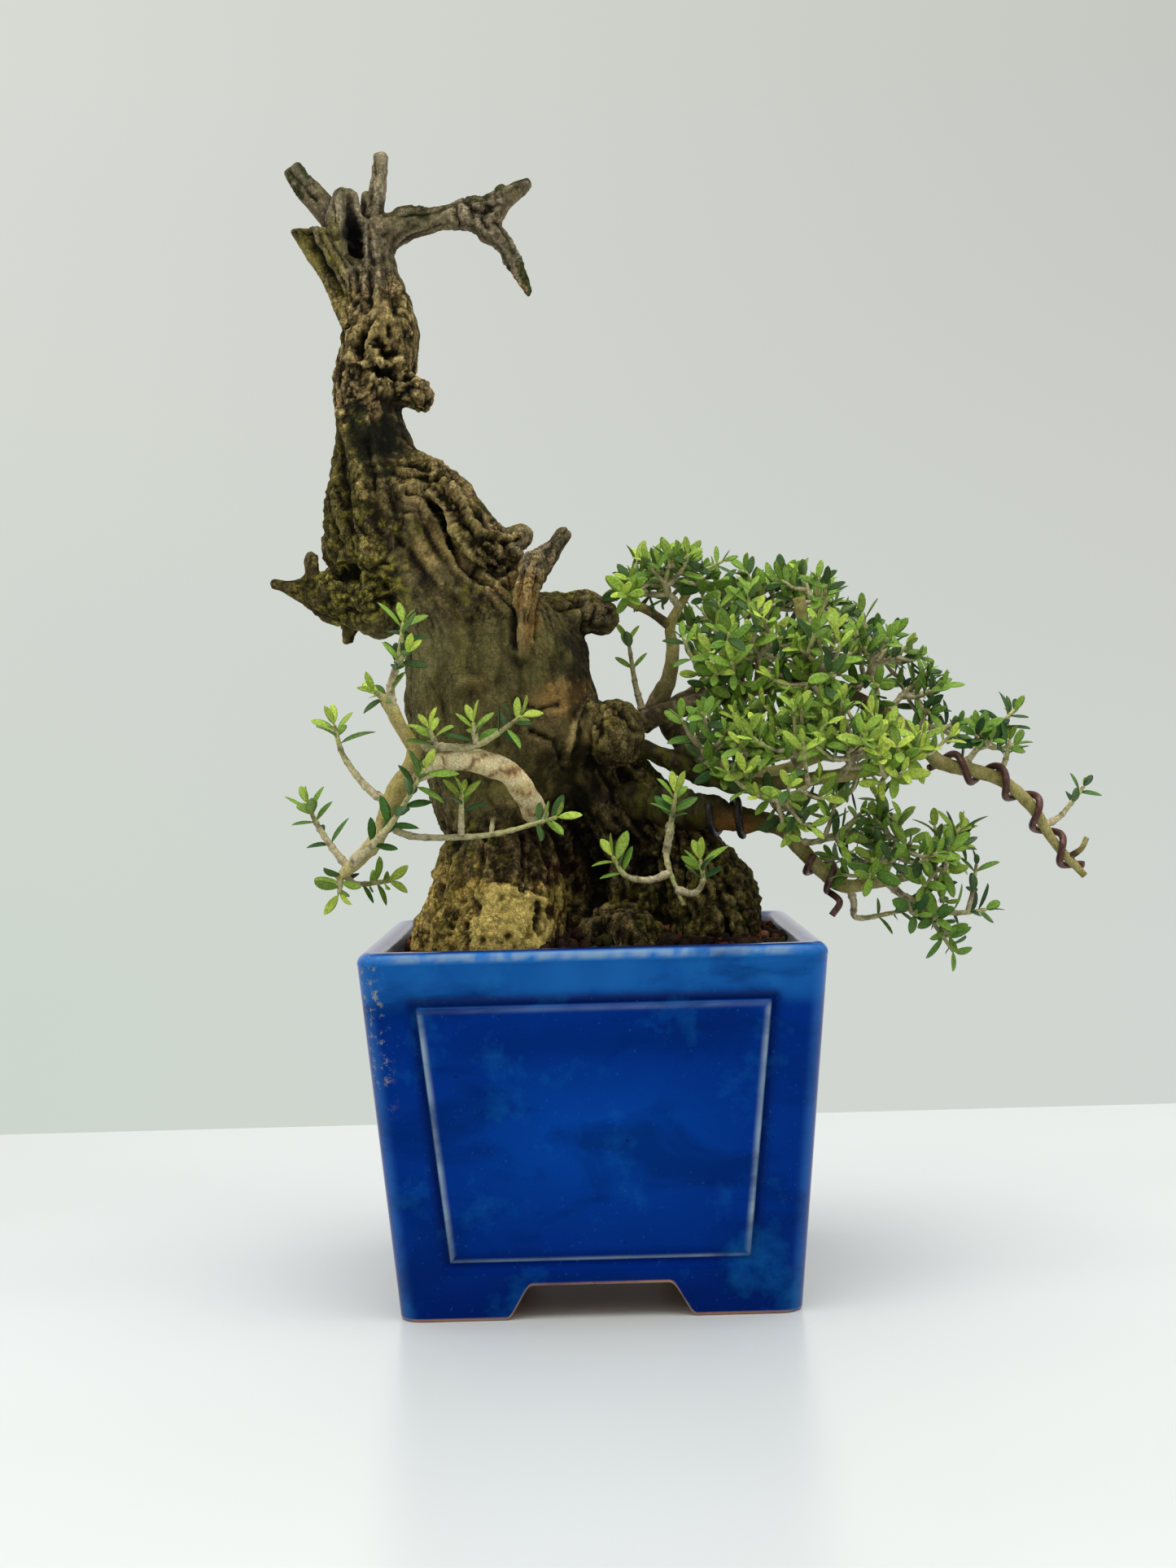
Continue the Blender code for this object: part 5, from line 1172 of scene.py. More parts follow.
def grain_places(places):
    """Places squeezed along the wood's grain, so that noise on them runs along it."""
    x, y = trunk_axis(places[:, 2])
    out = np.stack((places[:, 0] - x, places[:, 1] - y, places[:, 2] * 0.22), axis=-1)
    best = np.full(len(places), 1.35)
    for name in GRAINED_LUMPS:
        rows = TRUNK_LUMPS[name]
        span = np.array(rows)[:, :3]
        box = np.all((places > span.min(axis=0) - 14) & (places < span.max(axis=0) + 14), axis=1)
        if not box.any():
            continue
        share, offset, length = along_path(places[box], rows)
        index = np.flatnonzero(box)
        closer = share < best[index]
        best[index[closer]] = share[closer]
        local = offset[closer].copy()
        direction = unit(span[-1] - span[0])
        local -= direction * (local @ direction)[:, None] * 0.8
        local += direction * length[closer][:, None] * 0.2 + len(name)
        out[index[closer]] = local
    return out


def melted_trunk():
    """Core and lumps melted into one skin, with a flat foot inside the soil.

    The core's rings are ovals between circle and square, |cos|^p + |sin|^p = 1, and each lump
    is a round tube along its own path. A voxel remesh joins them.
    """
    rings = []
    angle = np.linspace(0, 2 * math.pi, CORE_SIDES, endpoint=False)
    c, s = np.cos(angle), np.sin(angle)
    reach = (np.abs(c) ** CORE_POWER + np.abs(s) ** CORE_POWER) ** (-1 / CORE_POWER)
    for z, left, right, front, back in spline(TRUNK_SECTIONS, 4):
        rings.append(np.stack(((left + right) / 2 + (right - left) / 2 * c * reach,
                               (front + back) / 2 + (back - front) / 2 * s * reach,
                               np.full(CORE_SIDES, z)), axis=-1))
    verts = [np.concatenate(rings)]
    last = (len(rings) - 1) * CORE_SIDES
    faces = grid_faces(len(rings), CORE_SIDES).tolist()
    faces += [list(range(CORE_SIDES - 1, -1, -1)), list(range(last, last + CORE_SIDES))]
    count = len(verts[0])
    for rows in TRUNK_LUMPS.values():
        body, parts = tube(rounded(rows), LUMP_SIDES)
        body[:, 2] = np.maximum(body[:, 2], TRUNK_FOOT_Z)
        verts.append(body)
        for part in parts:
            faces += (part + count).tolist()
        count += len(body)
    mesh = bpy.data.meshes.new("trunk_bark")
    mesh.from_pydata((np.concatenate(verts) * MM).tolist(), [], faces)
    obj = bpy.data.objects.new("melting_trunk", mesh)
    bpy.context.scene.collection.objects.link(obj)
    melt = obj.modifiers.new("melt", "REMESH")
    melt.mode = "VOXEL"
    melt.voxel_size = TRUNK_VOXEL * MM
    soft = obj.modifiers.new("soft", "SMOOTH")
    soft.factor = 0.5
    soft.iterations = 6
    graph = bpy.context.evaluated_depsgraph_get()
    done = bpy.data.meshes.new_from_object(obj.evaluated_get(graph))
    bpy.data.objects.remove(obj)
    return done


def mesh_rows(mesh, kind, name, width, dtype=np.float64):
    """One property of every vertex or edge as rows of numbers."""
    rows = np.empty(len(kind) * width, dtype=dtype)
    kind.foreach_get(name, rows)
    return rows.reshape(-1, width)


def hollowness(places, normals, edges, rounds):
    """How far each place lies below the mean of its neighbours, evened out over some rounds."""
    ties = np.zeros(len(places))
    np.add.at(ties, edges.ravel(), 1)
    mean = places
    for _ in range(rounds):
        total = np.zeros_like(places)
        np.add.at(total, edges[:, 0], mean[edges[:, 1]])
        np.add.at(total, edges[:, 1], mean[edges[:, 0]])
        mean = total / ties[:, None]
    return ((mean - places) * normals).sum(axis=1)


def patch(x, z, centre_x, centre_z, half_x, half_z, rough):
    """Soft-edged oval on the front view, its edge broken by rough."""
    away = np.hypot((x - centre_x) / half_x, (z - centre_z) / half_z)
    return ease(1.25, 0.8, away + rough)


def away_from_shelf(x, z):
    """How far to the left of the shelf's lower edge a place of the front view lies."""
    return np.interp(-z, (-233.5, -229, -218, -206), (-50, -42, -38, -27)) - x


def make_trunk(finish):
    """Gnarled trunk: melted form, then carved lines, flutes, lumps and cracks, then its tones.

    Every step pushes each place along its normal by a sum of noise and of bell curves
    across the carved lines. Soft patches of the front view say where it is smooth wood,
    corky or mossy root, flaky bark, diagonal muscle, or the pitted crust of the left root.
    """
    mesh = melted_trunk()
    places = mesh_rows(mesh, mesh.vertices, "co", 3) / MM
    normals = mesh_rows(mesh, mesh.vertices, "normal", 3)
    edges = mesh_rows(mesh, mesh.edges, "vertices", 2, np.int32)
    x, y, z = places.T
    front = np.clip(-normals[:, 1] * 1.6, 0, 1)
    swell = 1.7 * waves(places * (1, 1, 0.4), 9, 3) + 1.3 * waves(places, 12, 4)
    slender = ease(250, 262, z)
    push = swell * ease(80, 95, z) * (1 - 0.6 * slender) * (1 - 0.5 * ease(290, 300, z))
    wander = 0.8 * np.stack([waves(places, 4.5, 26 + i) for i in (0, 1)], axis=-1)
    for half, height, path in TRUNK_STROKES:
        away = near_path(x + wander[:, 0], z + wander[:, 1], path)
        push += height * np.exp(-(away / half) ** 2) * front
    places, normals = carve(mesh, places, normals, push)
    places = cut_flat(places)
    x, y, z = places.T
    warp = 1.6 * np.stack([waves(places, 13, 20 + i) for i in range(3)], axis=-1)
    grain = grain_places(places + warp)
    rough = 0.45 * layers(places, 7, 3, 80)
    dead = ease(298, 306, z + 6 * rough)
    corky = ease(134, 120, z + 9 * rough) * ease(-2, -12, x)
    mossy_root = ease(140, 126, z + 9 * rough) * ease(8, 20, x)
    front = np.clip(-normals[:, 1] * 1.5, 0, 1)
    middle = ease(203, 192, z + 6 * rough) * ease(134, 144, z) * ease(6, -2, x + 6 * rough) * front
    smooth = np.maximum(patch(x, z, -42, 214, 14, 19, rough) * front, middle)
    sponge = patch(x, z, -25, 107, 15, 12, rough) * front
    recess = patch(x, z, -59, 250, 10, 9, 1.6 * rough) * front
    slender = ease(250, 262, z)
    blades = ease(281, 288, z) * ease(-68, -71, x)
    collar = ease(280, 288, z + 4 * rough)
    calm = np.max((smooth, corky, mossy_root, recess, 0.9 * blades, 0.5 * slender), axis=0)
    granular = np.maximum(patch(x, z, -66, 208, 12, 11, rough),
                          patch(x, z, -74, 226, 8, 26, rough) * 0.7)
    lumpy = ease(256, 266, z + 9 * rough) * ease(277, 270, z + 9 * rough) * ease(-74, -64, x)
    slim = np.clip((x + 92) / 12, 0.35, 1) * np.where(z > 318, 0.75, 1.0)
    flutes = ridges(grain, 8.5, 3, 40) - 0.35
    fibres = ridges(grain * (1, 1, 0.6), 2.7, 2, 50) - 0.3
    fissure = (ease(0.12, 0.0, np.abs(waves(grain * (1, 1, 0.7), 4.6, 54)))
               * ease(-0.3, 0.3, waves(places, 9, 55)))
    coarse, second = plates(places + warp, 4.6, 60)
    grit = plates(places, 2.5, 64)[0]
    scales, seam = plates(places + warp, 3.2, 76)
    flaky = np.maximum(slender * ease(300, 292, z), patch(x, z, -33, 226, 18, 20, rough) * front)
    flaky = np.maximum(flaky, patch(x, z, -29, 320, 9, 7, rough)) * (1 - blades)
    muscle = patch(x, z, -45, 214, 12, 19, rough) * front * (away_from_shelf(x, z) > 0)
    sweep = np.stack((0.82 * x + 0.57 * z, 0.2 * y, 0.07 * (0.57 * x - 0.82 * z)), axis=-1)
    sweep = layers(sweep + 0.25 * warp, 2.6, 2, 110)
    flaky *= 1 - muscle
    flaky *= ease(-0.25, 0.3, waves(places, 7, 78))
    bumps = layers(places, 3.4, 2, 70)
    crumb = layers(places + warp, 5.0, 3, 72)
    pits = (ease(0.34, 0.16, plates(places + warp, 4.2, 66)[0])
            * ease(0.0, 0.3, waves(places, 8, 67) + 0.25))
    tracks = ease(0.10, 0.0, np.abs(waves(places, 5.0, 68)))
    push = flutes * 1.5 * (1 - 0.85 * calm) + fibres * (0.5 + 0.25 * dead - 0.25 * smooth)
    push -= fissure * (1.0 - 0.85 * calm) * 1.1
    push += bumps * (0.45 + 0.3 * np.maximum(corky, mossy_root) - 0.3 * smooth - 0.3 * blades)
    push += crumb * (1.1 * np.maximum(corky, mossy_root) + 0.25 * collar * (1 - blades))
    push += lumpy * (1.3 * (0.55 - coarse) - 0.9 * ease(0.16, 0.0, second - coarse))
    push += flaky * (0.4 * (0.5 - scales) - 0.6 * ease(0.18, 0.0, seam - scales))
    push += granular * 1.5 * (0.55 - grit)
    push -= sponge * (1.5 * pits + 0.7 * tracks) + corky * (1 - sponge) * (0.7 * pits + 0.4 * tracks)
    push += mossy_root * (0.8 * (0.5 - grit) - 0.5 * tracks)
    push += 0.5 * muscle * sweep
    crust = np.maximum(patch(x, z, -23, 103, 13, 10, 1.5 * rough),
                       patch(x, z, -27, 114, 6, 6, rough))
    crust = ease(0.3, 0.6, crust * front)
    push = push * (1 - 0.5 * crust) + crust * (0.9 - 1.4 * pits - 0.3 * tracks)
    places, normals = carve(mesh, places, normals, push * slim * ease(84, 96, z))
    hollow = hollowness(places, normals, edges, 4)
    broad = hollowness(places, normals, edges, 22)
    dark_spots = (fissure * 0.6 * (1 - 0.6 * smooth) + sponge * (pits + 0.5 * tracks)
                  + 0.6 * corky * pits)
    dark_spots = np.clip(dark_spots + 0.7 * flaky * ease(0.22, 0.05, seam - scales), 0, 1)
    crust_spots = 1.1 * pits + 0.45 * tracks * ease(-0.1, 0.3, waves(places, 6, 69))
    dark_spots = np.where(crust > 0.5, crust_spots, dark_spots)
    paint(mesh, "tone", trunk_tones(places, normals, grain, hollow, broad, dark_spots,
                                    muscle * sweep, crust))
    plain = np.max((0.6 * smooth, 0.55 * crust, 0.4 * recess, 0.75 * middle, 0.45 * dead), axis=0)
    paint(mesh, "plain", np.repeat(plain[:, None], 3, axis=1))
    places[:, 0] += POT_AXIS_X
    mesh.vertices.foreach_set("co", (places * MM).ravel())
    mesh.polygons.foreach_set("use_smooth", [True] * len(mesh.polygons))
    return place_piece(mesh, "trunk_bark", [finish], ["trunk"])


def cut_flat(places):
    """Squeezes the tops of the two splinters down to one ragged, nearly level cut."""
    x, y, z = places.T
    level = SPLINTER_CUT + 0.7 * waves(places, 1.8, 31)
    over = (z > level) & (x < -72.5) & (z < SPLINTER_CUT + 4.5) & (y < 0)
    places = places.copy()
    places[over, 2] = level[over] + 0.08 * (z - level)[over]
    return places


def carve(mesh, places, normals, push):
    """Places moved along their normals, with the normals that follow."""
    places = places + normals * push[:, None]
    mesh.vertices.foreach_set("co", (places * MM).ravel())
    mesh.update()
    return places, mesh_rows(mesh, mesh.vertices, "normal", 3)


def trunk_tones(places, normals, grain, hollow, broad, dark_spots, swept, yellow):
    """Colours of the trunk, laid in coats from bark to bare wood, streaks, moss, crests and pits,
    with painted highlights on the crests, and painted shade in hollows, the cave, the recess,
    the stump's hole and under the stub.

    The share of each coat is a product of soft steps of noise, of height, of patches on the
    front view, and of how hollow the surface is. swept is the muscle's diagonal grain and
    yellow the crust of the left root.
    """
    x, y, z = places.T
    front = ease(5, -2, y - trunk_axis(z)[1]) * ease(0.75, 0.3, normals[:, 1])
    rough = 0.45 * layers(places, 7, 3, 80)
    speck = layers(places, 2.2, 2, 84)
    mottle = layers(places, 4.5, 3, 86)
    flake = layers(places * (1, 1, 0.75), 3.2, 3, 88)
    fibre = layers(grain * (1, 1, 0.7), 3.0, 3, 92)
    coats = Coats(np.tile(tone("2f2817"), (len(places), 1)))
    coats.over("665836", ease(-0.4, 0.5, layers(grain, 8, 3, 90)))
    neck = ease(254, 264, z + 8 * rough) * ease(304, 292, z + 8 * rough)
    coats.over("665138", neck * 0.8)
    grey = ease(292, 306, z + 12 * rough)
    coats.over("8c7c68", grey)
    middle = ease(203, 192, z + 6 * rough) * ease(134, 146, z) * ease(6, -2, x + 6 * rough)
    coats.over("726b46", 0.85 * middle)
    for centre_x, centre_z, half_x, half_z, shade, share in TRUNK_PATCHES_AND_SHADE:
        coats.over(shade, patch(x, z, centre_x, centre_z, half_x, half_z, rough) * front * share)
    even = 1 - 0.7 * middle * front
    coats.over("776e50", 0.6 * ease(0.1, 0.5, swept))
    coats.over("2f2b1c", 0.6 * ease(-0.1, -0.5, swept))
    even = even * (1 - patch(x, z, -45, 214, 12, 19, rough) * front)
    coats.over("8d7c58", 0.5 * ease(0.05, 0.5, fibre) * (1 - grey) * even)
    coats.over("2a2318", 0.5 * ease(-0.05, -0.5, fibre) * even)
    coats.over("a88a68", 0.75 * ease(0.1, 0.45, flake) * neck * front)
    coats.over("2c2416", 0.7 * ease(-0.05, -0.4, flake) * neck * front)
    for half, shade, share, path in TRUNK_STREAKS:
        away = near_path(x, z, path) / half + 0.6 * np.abs(mottle)
        coats.over(shade, ease(1.3, 0.5, away) * front * share)
    coats.over("9c8550", 0.35 * ease(0.15, 0.7, mottle) * (1 - grey) * (1 - 0.6 * middle))
    coats.over("1f190e", 0.6 * ease(-0.05, -0.55, mottle) * (1 - 0.5 * middle))
    shelf = patch(x, z, -33, 226, 16, 20, rough) * front
    coats.over("b59c70", 0.75 * ease(0.12, 0.42, flake) * np.maximum(neck * front, shelf * 0.7))
    root = ease(134, 120, z + 9 * rough)
    golden = root * ease(0, -10, x) * ease(-0.15, 0.15, layers(places, 5, 3, 97))
    brown = patch(x, z, -17, 127, 13, 9, rough) * front
    coats.over("3a2a1b", 0.85 * brown)
    coats.over("5a2f1e", 0.7 * patch(x, z, -10, 117, 3, 9, rough) * front)
    coats.over("e2c46e", 0.95 * golden * (1 - brown))
    up = ease(-0.2, 0.8, normals[:, 2])
    moss = ease(0.1, 0.5, 0.5 * layers(places, 13, 3, 95) + 0.3 * up + 0.25 * hollow + 0.3 * speck)
    moss *= (1 - 0.5 * grey) * (1 - 0.75 * middle * front) * (1 - 0.6 * neck)
    moss = np.maximum(moss, patch(x, z, -67, 206, 12, 12, rough) * 0.95)
    moss = np.maximum(moss, patch(x, z, -72, 234, 8, 22, rough) * 0.75 * front)
    moss = np.maximum(moss, grey * ease(0.0, 0.35, 0.5 * up + 0.6 * flake - 0.15))
    moss = np.maximum(moss, root * ease(10, 20, x) * 0.75)
    moss *= 1 - 0.9 * yellow
    green = blend(np.tile(tone("24270a"), (len(places), 1)), tone("7f7a22"), ease(-0.25, 0.5, speck))
    green = blend(green, tone("34360f"), 0.75 * grey)
    coats.colour = blend(coats.colour, green, moss * 0.72)
    burl = patch(x, z, -66, 207, 14, 12, rough)
    coats.over("aea54a", 0.8 * burl * ease(-0.15, 0.45, speck))
    # painted highlight: a pale tone on the convex crests of the bark, strongest on the neck
    crest = np.clip(-hollow * 1.5 - 0.1, 0, 1) * (0.7 + 0.3 * ease(-0.3, 0.5, speck))
    crest *= (0.45 + 0.9 * neck + 0.3 * shelf + 0.3 * root + 0.4 * grey) * (1 - moss * 0.4)
    crest = np.clip(crest, 0, 0.95)
    edge = np.maximum(patch(x, z, -27, 222, 9, 11, rough),
                      patch(x, z, -42, 240, 9, 3, rough)) * front
    coats.over("34380f", 0.8 * edge * ease(0.1, -0.25, flake))
    pale = blend(np.tile(tone("d2bc82"), (len(places), 1)), tone("c2b49c"), grey)
    coats.colour = blend(coats.colour, pale, crest)
    blades = ease(281, 288, z) * ease(-67, -70, x) * ease(320, 315, z)
    coats.over("a0944e", 0.7 * blades * ease(-0.3, 0.3, fibre))
    coats.over("2c2814", 0.6 * blades * ease(0.0, -0.4, fibre))
    # painted shade in the surface's hollows and broad dips, together with the dark spots of cracks, pits
    # and seams
    dark = np.clip(hollow * 2.0, 0, 0.9) + np.clip(broad * 0.4, 0, 0.7) + 0.85 * dark_spots
    dark = np.clip(dark, 0, 0.93) * (1 - 0.25 * root * ease(0, -10, x))
    coats.over("0e0b06", dark * (1 - 0.45 * yellow))
    shade = np.maximum(patch(x, z, 0, 181, 6, 13, rough),
                       patch(x, z, -5, 148, 12, 9, rough)) * front
    coats.over("171409", 0.7 * shade * ease(0.6, 0.1, flake))
    # painted shade in the recess on the trunk's left side
    pocket_shade = patch(x, z, -60, 250, 9, 9, 1.6 * rough) * front * ease(0.5, 0.1, flake)
    coats.over("12140c", 0.85 * pocket_shade)
    fringe = (grey * ease(0.25, 0.75, normals[:, 2]) * ease(-0.35, 0.1, flake)
              * (x > -54) * (z > 314))
    fringe = np.maximum(fringe, patch(x, z, -19, 330, 10, 4, rough) * ease(0.1, -0.2, flake))
    fringe = np.maximum(fringe, patch(x, z, -13.5, 299, 3, 9, rough) * (normals[:, 0] > 0))
    fringe = np.maximum(fringe, patch(x, z, -82, 330, 6, 6, rough) * ease(0.1, -0.2, flake))
    coats.over("353b17", 0.92 * fringe)
    coats.over("ffe48c", 0.97 * yellow * (1 - dark) ** 0.8
               * (0.75 + 0.25 * ease(-0.4, 0.2, speck)))
    # painted shade deep in the hollow stump's hole
    hole = patch(x, z, -66, 315, 2.3, 6.2, 1.3 * rough) * ease(0, -1, y)
    return blend(coats.colour, tone("050403"), 0.95 * hole)


# ---- limbs ----

def limb_rows():
    """Centrelines of every woody limb, by name, as rows of (x, y, z, radius)."""
    rows = {name: np.array(points, dtype=float) for name, points in LEFT_LIMBS.items()}
    rows.update({name: drawn(points) for name, points in DRAWN_LIMBS.items()})
    return rows


def limb_skin(skin, name, rows):
    """One limb: a knotty tube whose bark darkens towards the trunk.

    The lower and middle limbs are rough and mossy at their root, and the lower one has a
    bare patch. The arch is pale wood wound by scars: bands where sin(length + turn + noise)
    is near 1.
    """
    fine = spline(rows, 14)
    sides = 20
    salt = sum(map(ord, name))
    flat, faces = tube(fine, sides)
    wall = flat[:len(fine) * sides].reshape(len(fine), sides, 3)
    share = np.linspace(0, 1, len(fine))
    dark_root = ease(0.55, 0.4, share)[:, None] * (name in ("lower", "middle"))
    swell = (0.16 + 0.2 * dark_root) * layers(wall * (0.6, 0.6, 0.6), 3.0, 3, salt) * fine[:, 3:4]
    rings = ease(0.55, 0.9, waves(fine[:, (0, 2, 1)], 4.0, salt + 5))
    swell = swell + (rings * 0.12 * fine[:, 3])[:, None]
    verts, faces = tube(fine, sides, swell)
    near_trunk = ease(0.8, 0.3, share)[:, None] * np.ones(sides)
    rough = layers(wall, 5, 3, salt + 9)
    young, old, green = tone("b0a66c"), tone("4c4032"), 0.5
    if name in LEFT_LIMBS:
        young, old, green = tone("cdbf84"), tone("b5a562"), 0.4
    if name == "arch":
        young, old, green = tone("f6e4b4"), tone("e8d096"), 0.0
    aged = np.clip(near_trunk + 0.35 * rough, 0, 1)
    coats = Coats(blend(np.tile(young, (len(fine), sides, 1)), old, aged))
    coats.over("8a8434", green * ease(0.05, 0.5, rough))
    flecks = layers(wall, 2.6, 3, salt + 7)
    coats.over("b3a27c", 0.6 * near_trunk * ease(0.1, 0.5, flecks))
    coats.over("1f1a0e", 0.8 * dark_root)
    coats.over("55571c", 0.85 * dark_root * ease(-0.05, 0.35, layers(wall, 3, 3, salt + 3)))
    bare = np.exp(-((wall[..., 0] - 42) / 6) ** 2 - ((wall[..., 2] - 133) / 4) ** 2)
    coats.over("a8743c", 0.85 * bare * (name == "lower"))
    if name == "arch":
        steps = np.diff(fine[:, :3], axis=0, prepend=fine[:1, :3])
        along = np.cumsum(np.linalg.norm(steps, axis=1))[:, None]
        around = np.linspace(0, 2 * math.pi, sides, endpoint=False)
        wound = np.sin(2 * math.pi * along / 8.5 + 2 * around + 1.8 * rough)
        coats.over("7c4c28", ease(0.86, 0.98, wound) * 0.85)
        coats.over("fff2cc", ease(-0.2, -0.8, wound) * 0.6)
    colour = coats.colour.reshape(-1, 3)
    colour = np.concatenate((colour, colour[:1], colour[-1:]))
    skin.add(verts, faces, colour)


# ---- leaves ----

SHOOT_REACH = (7.0, 14.0)
SHOOT_TRIES = 8
LEAF_MARGIN = 4.0
# Blade length, width and bluntness (less is blunter) on the left branch and in the crown
YOUNG_LEAF = (9.2, 3.5, 0.62)
CROWN_LEAF = (8.0, 3.2, 0.5)
# Length of twig from one pair of leaves to the next
YOUNG_SPACING = 3.4
CROWN_SPACING = 5.3
# Pairs that close a twig: how far before its tip, and how far they lean out in degrees
YOUNG_TIPS = ((5.6, 78), (3.6, 72), (1.8, 62), (0.2, 30))
CROWN_TIPS = ((2.4, 60), (0.3, 34))
LEAF_STATIONS = np.array((0.0, 0.09, 0.22, 0.4, 0.58, 0.76, 0.91, 1.0))
LEAF_ACROSS = np.array((-1.0, -0.5, 0.0, 0.5, 1.0))
LEAF_THICK = 0.34
BLADE_POINTS, KEEL_POINTS = len(LEAF_STATIONS) * len(LEAF_ACROSS), len(LEAF_STATIONS)


def leaf_template():
    """Blade grid on top, its under grid with shared edges, and the faces between them."""
    rows, columns = len(LEAF_STATIONS), len(LEAF_ACROSS)
    top = grid_faces(rows, columns, wrap_columns=False)
    under_start = rows * columns
    left = np.arange(rows) * columns
    middle = under_start + np.arange(rows)
    right = left + columns - 1
    under = []
    for a, b in ((left, middle), (middle, right)):
        under.append(np.stack((a[1:], b[1:], b[:-1], a[:-1]), axis=-1))
    return [top, *under]


LEAF_FACES = leaf_template()


def add_leaves(skin, leaves, rng, blunt):
    """Adds every leaf of a spray at once.

    Each blade is an oval in u (stalk to tip) and v (across), its half width a power of a
    sine, folded a little along its midrib, bowed down to its tip, and closed by a single row.
    """
    if not leaves:
        return
    root, along, up, length, width, age = (np.array(column, dtype=float) for column in zip(*leaves))
    count = len(root)
    side = unit(np.cross(along, up))
    up = np.cross(side, along)
    u = LEAF_STATIONS
    body = np.clip((u - 0.07) / 0.93, 0, 1)
    half = np.maximum(np.sin(math.pi * body ** 1.05) ** blunt, 0.11 * (u < 0.2) + 0.03)
    fold = rng.uniform(0.0, 0.28, count)
    curl = rng.uniform(-0.05, 0.3, count)
    twist = rng.uniform(-0.25, 0.25, count)
    v = LEAF_ACROSS
    x = u[None, :, None] * length[:, None, None] * np.ones((1, 1, len(v)))
    y = v[None, None, :] * half[None, :, None] * width[:, None, None] / 2
    lift = fold[:, None, None] * np.abs(y) - (curl * length)[:, None, None] * u[None, :, None] ** 2
    lift = lift + twist[:, None, None] * y * u[None, :, None]
    keel_x, keel_y = x[:, :, 2], y[:, :, 2]
    keel_lift = lift[:, :, 2] - LEAF_THICK * (0.4 + 0.6 * np.sin(math.pi * u))[None, :]

    def solid(a, b, c):
        return (root[:, None] + along[:, None] * a[..., None] + side[:, None] * b[..., None]
                + up[:, None] * c[..., None])

    flat = (count, -1)
    verts = np.concatenate((solid(x.reshape(flat), y.reshape(flat), lift.reshape(flat)),
                            solid(keel_x, keel_y, keel_lift)), axis=1)
    old, mid, new = tone("4a7a30"), tone("7fa53a"), tone("c2da56")
    upper = blend(blend(np.tile(old, (count, 1)), mid, ease(0.0, 0.5, age)), new, ease(0.5, 1.0, age))
    upper = blend(upper, tone("1f4424"), (rng.uniform(size=count) < 0.25) * (age < 0.6) * 0.8)
    upper = upper * (1 + 0.3 * rng.uniform(-1, 1, (count, 1)))
    lower = blend(np.tile(tone("76906a"), (count, 1)), tone("a8c860"), ease(0.3, 1.0, age))
    tones = np.concatenate((np.repeat(upper[:, None], BLADE_POINTS, axis=1),
                            np.repeat(lower[:, None], KEEL_POINTS, axis=1)), axis=1)
    stalk = len(LEAF_ACROSS)
    tones[:, :stalk] = blend(tones[:, :stalk], tone("a9b36a"), np.full((count, stalk), 0.6))
    uv_top = np.stack(np.broadcast_arrays(u[:, None], 0.5 + v[None, :] / 2), axis=-1).reshape(-1, 2)
    uv_keel = np.stack((u, np.full(KEEL_POINTS, 0.25)), axis=-1)
    uv = np.tile(np.concatenate((uv_top, uv_keel)), (count, 1))
    per_leaf = verts.shape[1]
    starts = (np.arange(count) * per_leaf)[:, None, None]
    faces = [(group[None] + starts).reshape(-1, 4) for group in LEAF_FACES]
    skin.add(verts, faces, tones, 1, uv)


def leaves_along(points, leaves_from, spacing, youth, rng, blade, lone=False):
    """Opposite leaves in crossed pairs along a twig, closing to a rosette at its tip."""
    if leaves_from > 1:
        return []
    lengths = lengths_along(points)
    total = lengths[-1]
    tips = YOUNG_TIPS if blade is YOUNG_LEAF else CROWN_TIPS
    stops = [(at, 62) for at in np.arange(leaves_from * total + 1.0, total - tips[0][0] - 1.5, spacing)]
    stops += [(total - back, spread) for back, spread in tips]
    turn = rng.uniform(0, math.pi)
    out = []
    for number, (at, spread) in enumerate(stops):
        at = max(at, 0.1)
        place, ahead = point_at(points, lengths, at)
        across = unit(np.cross(ahead, (0.2, 0.3, 1.0)))
        other = np.cross(ahead, across)
        from_tip = len(stops) - 1 - number
        age = youth * (1.3 - 0.26 * from_tip) + rng.uniform(-0.18, 0.18)
        for sign in (1,) if lone and from_tip == 0 else (1, -1):
            if from_tip > 2 and rng.uniform() < 0.12:
                continue
            angle = turn + rng.uniform(-0.3, 0.3)
            outward = (across * math.cos(angle) + other * math.sin(angle)) * sign
            tilt = math.radians(spread + rng.uniform(-14, 14))
            along = unit(ahead * math.cos(tilt) + outward * math.sin(tilt) + (0, 0, 0.22))
            up = ahead - along * ahead.dot(along) + (0, -0.7, 0.35)
            size = rng.uniform(0.74, 1.14) * (0.74 if from_tip == 0 else 1)
            slim = rng.uniform(0.88, 1.12)
            out.append((place, along, up, blade[0] * size, blade[1] * size * slim, age))
        turn += math.pi / 2
    return out


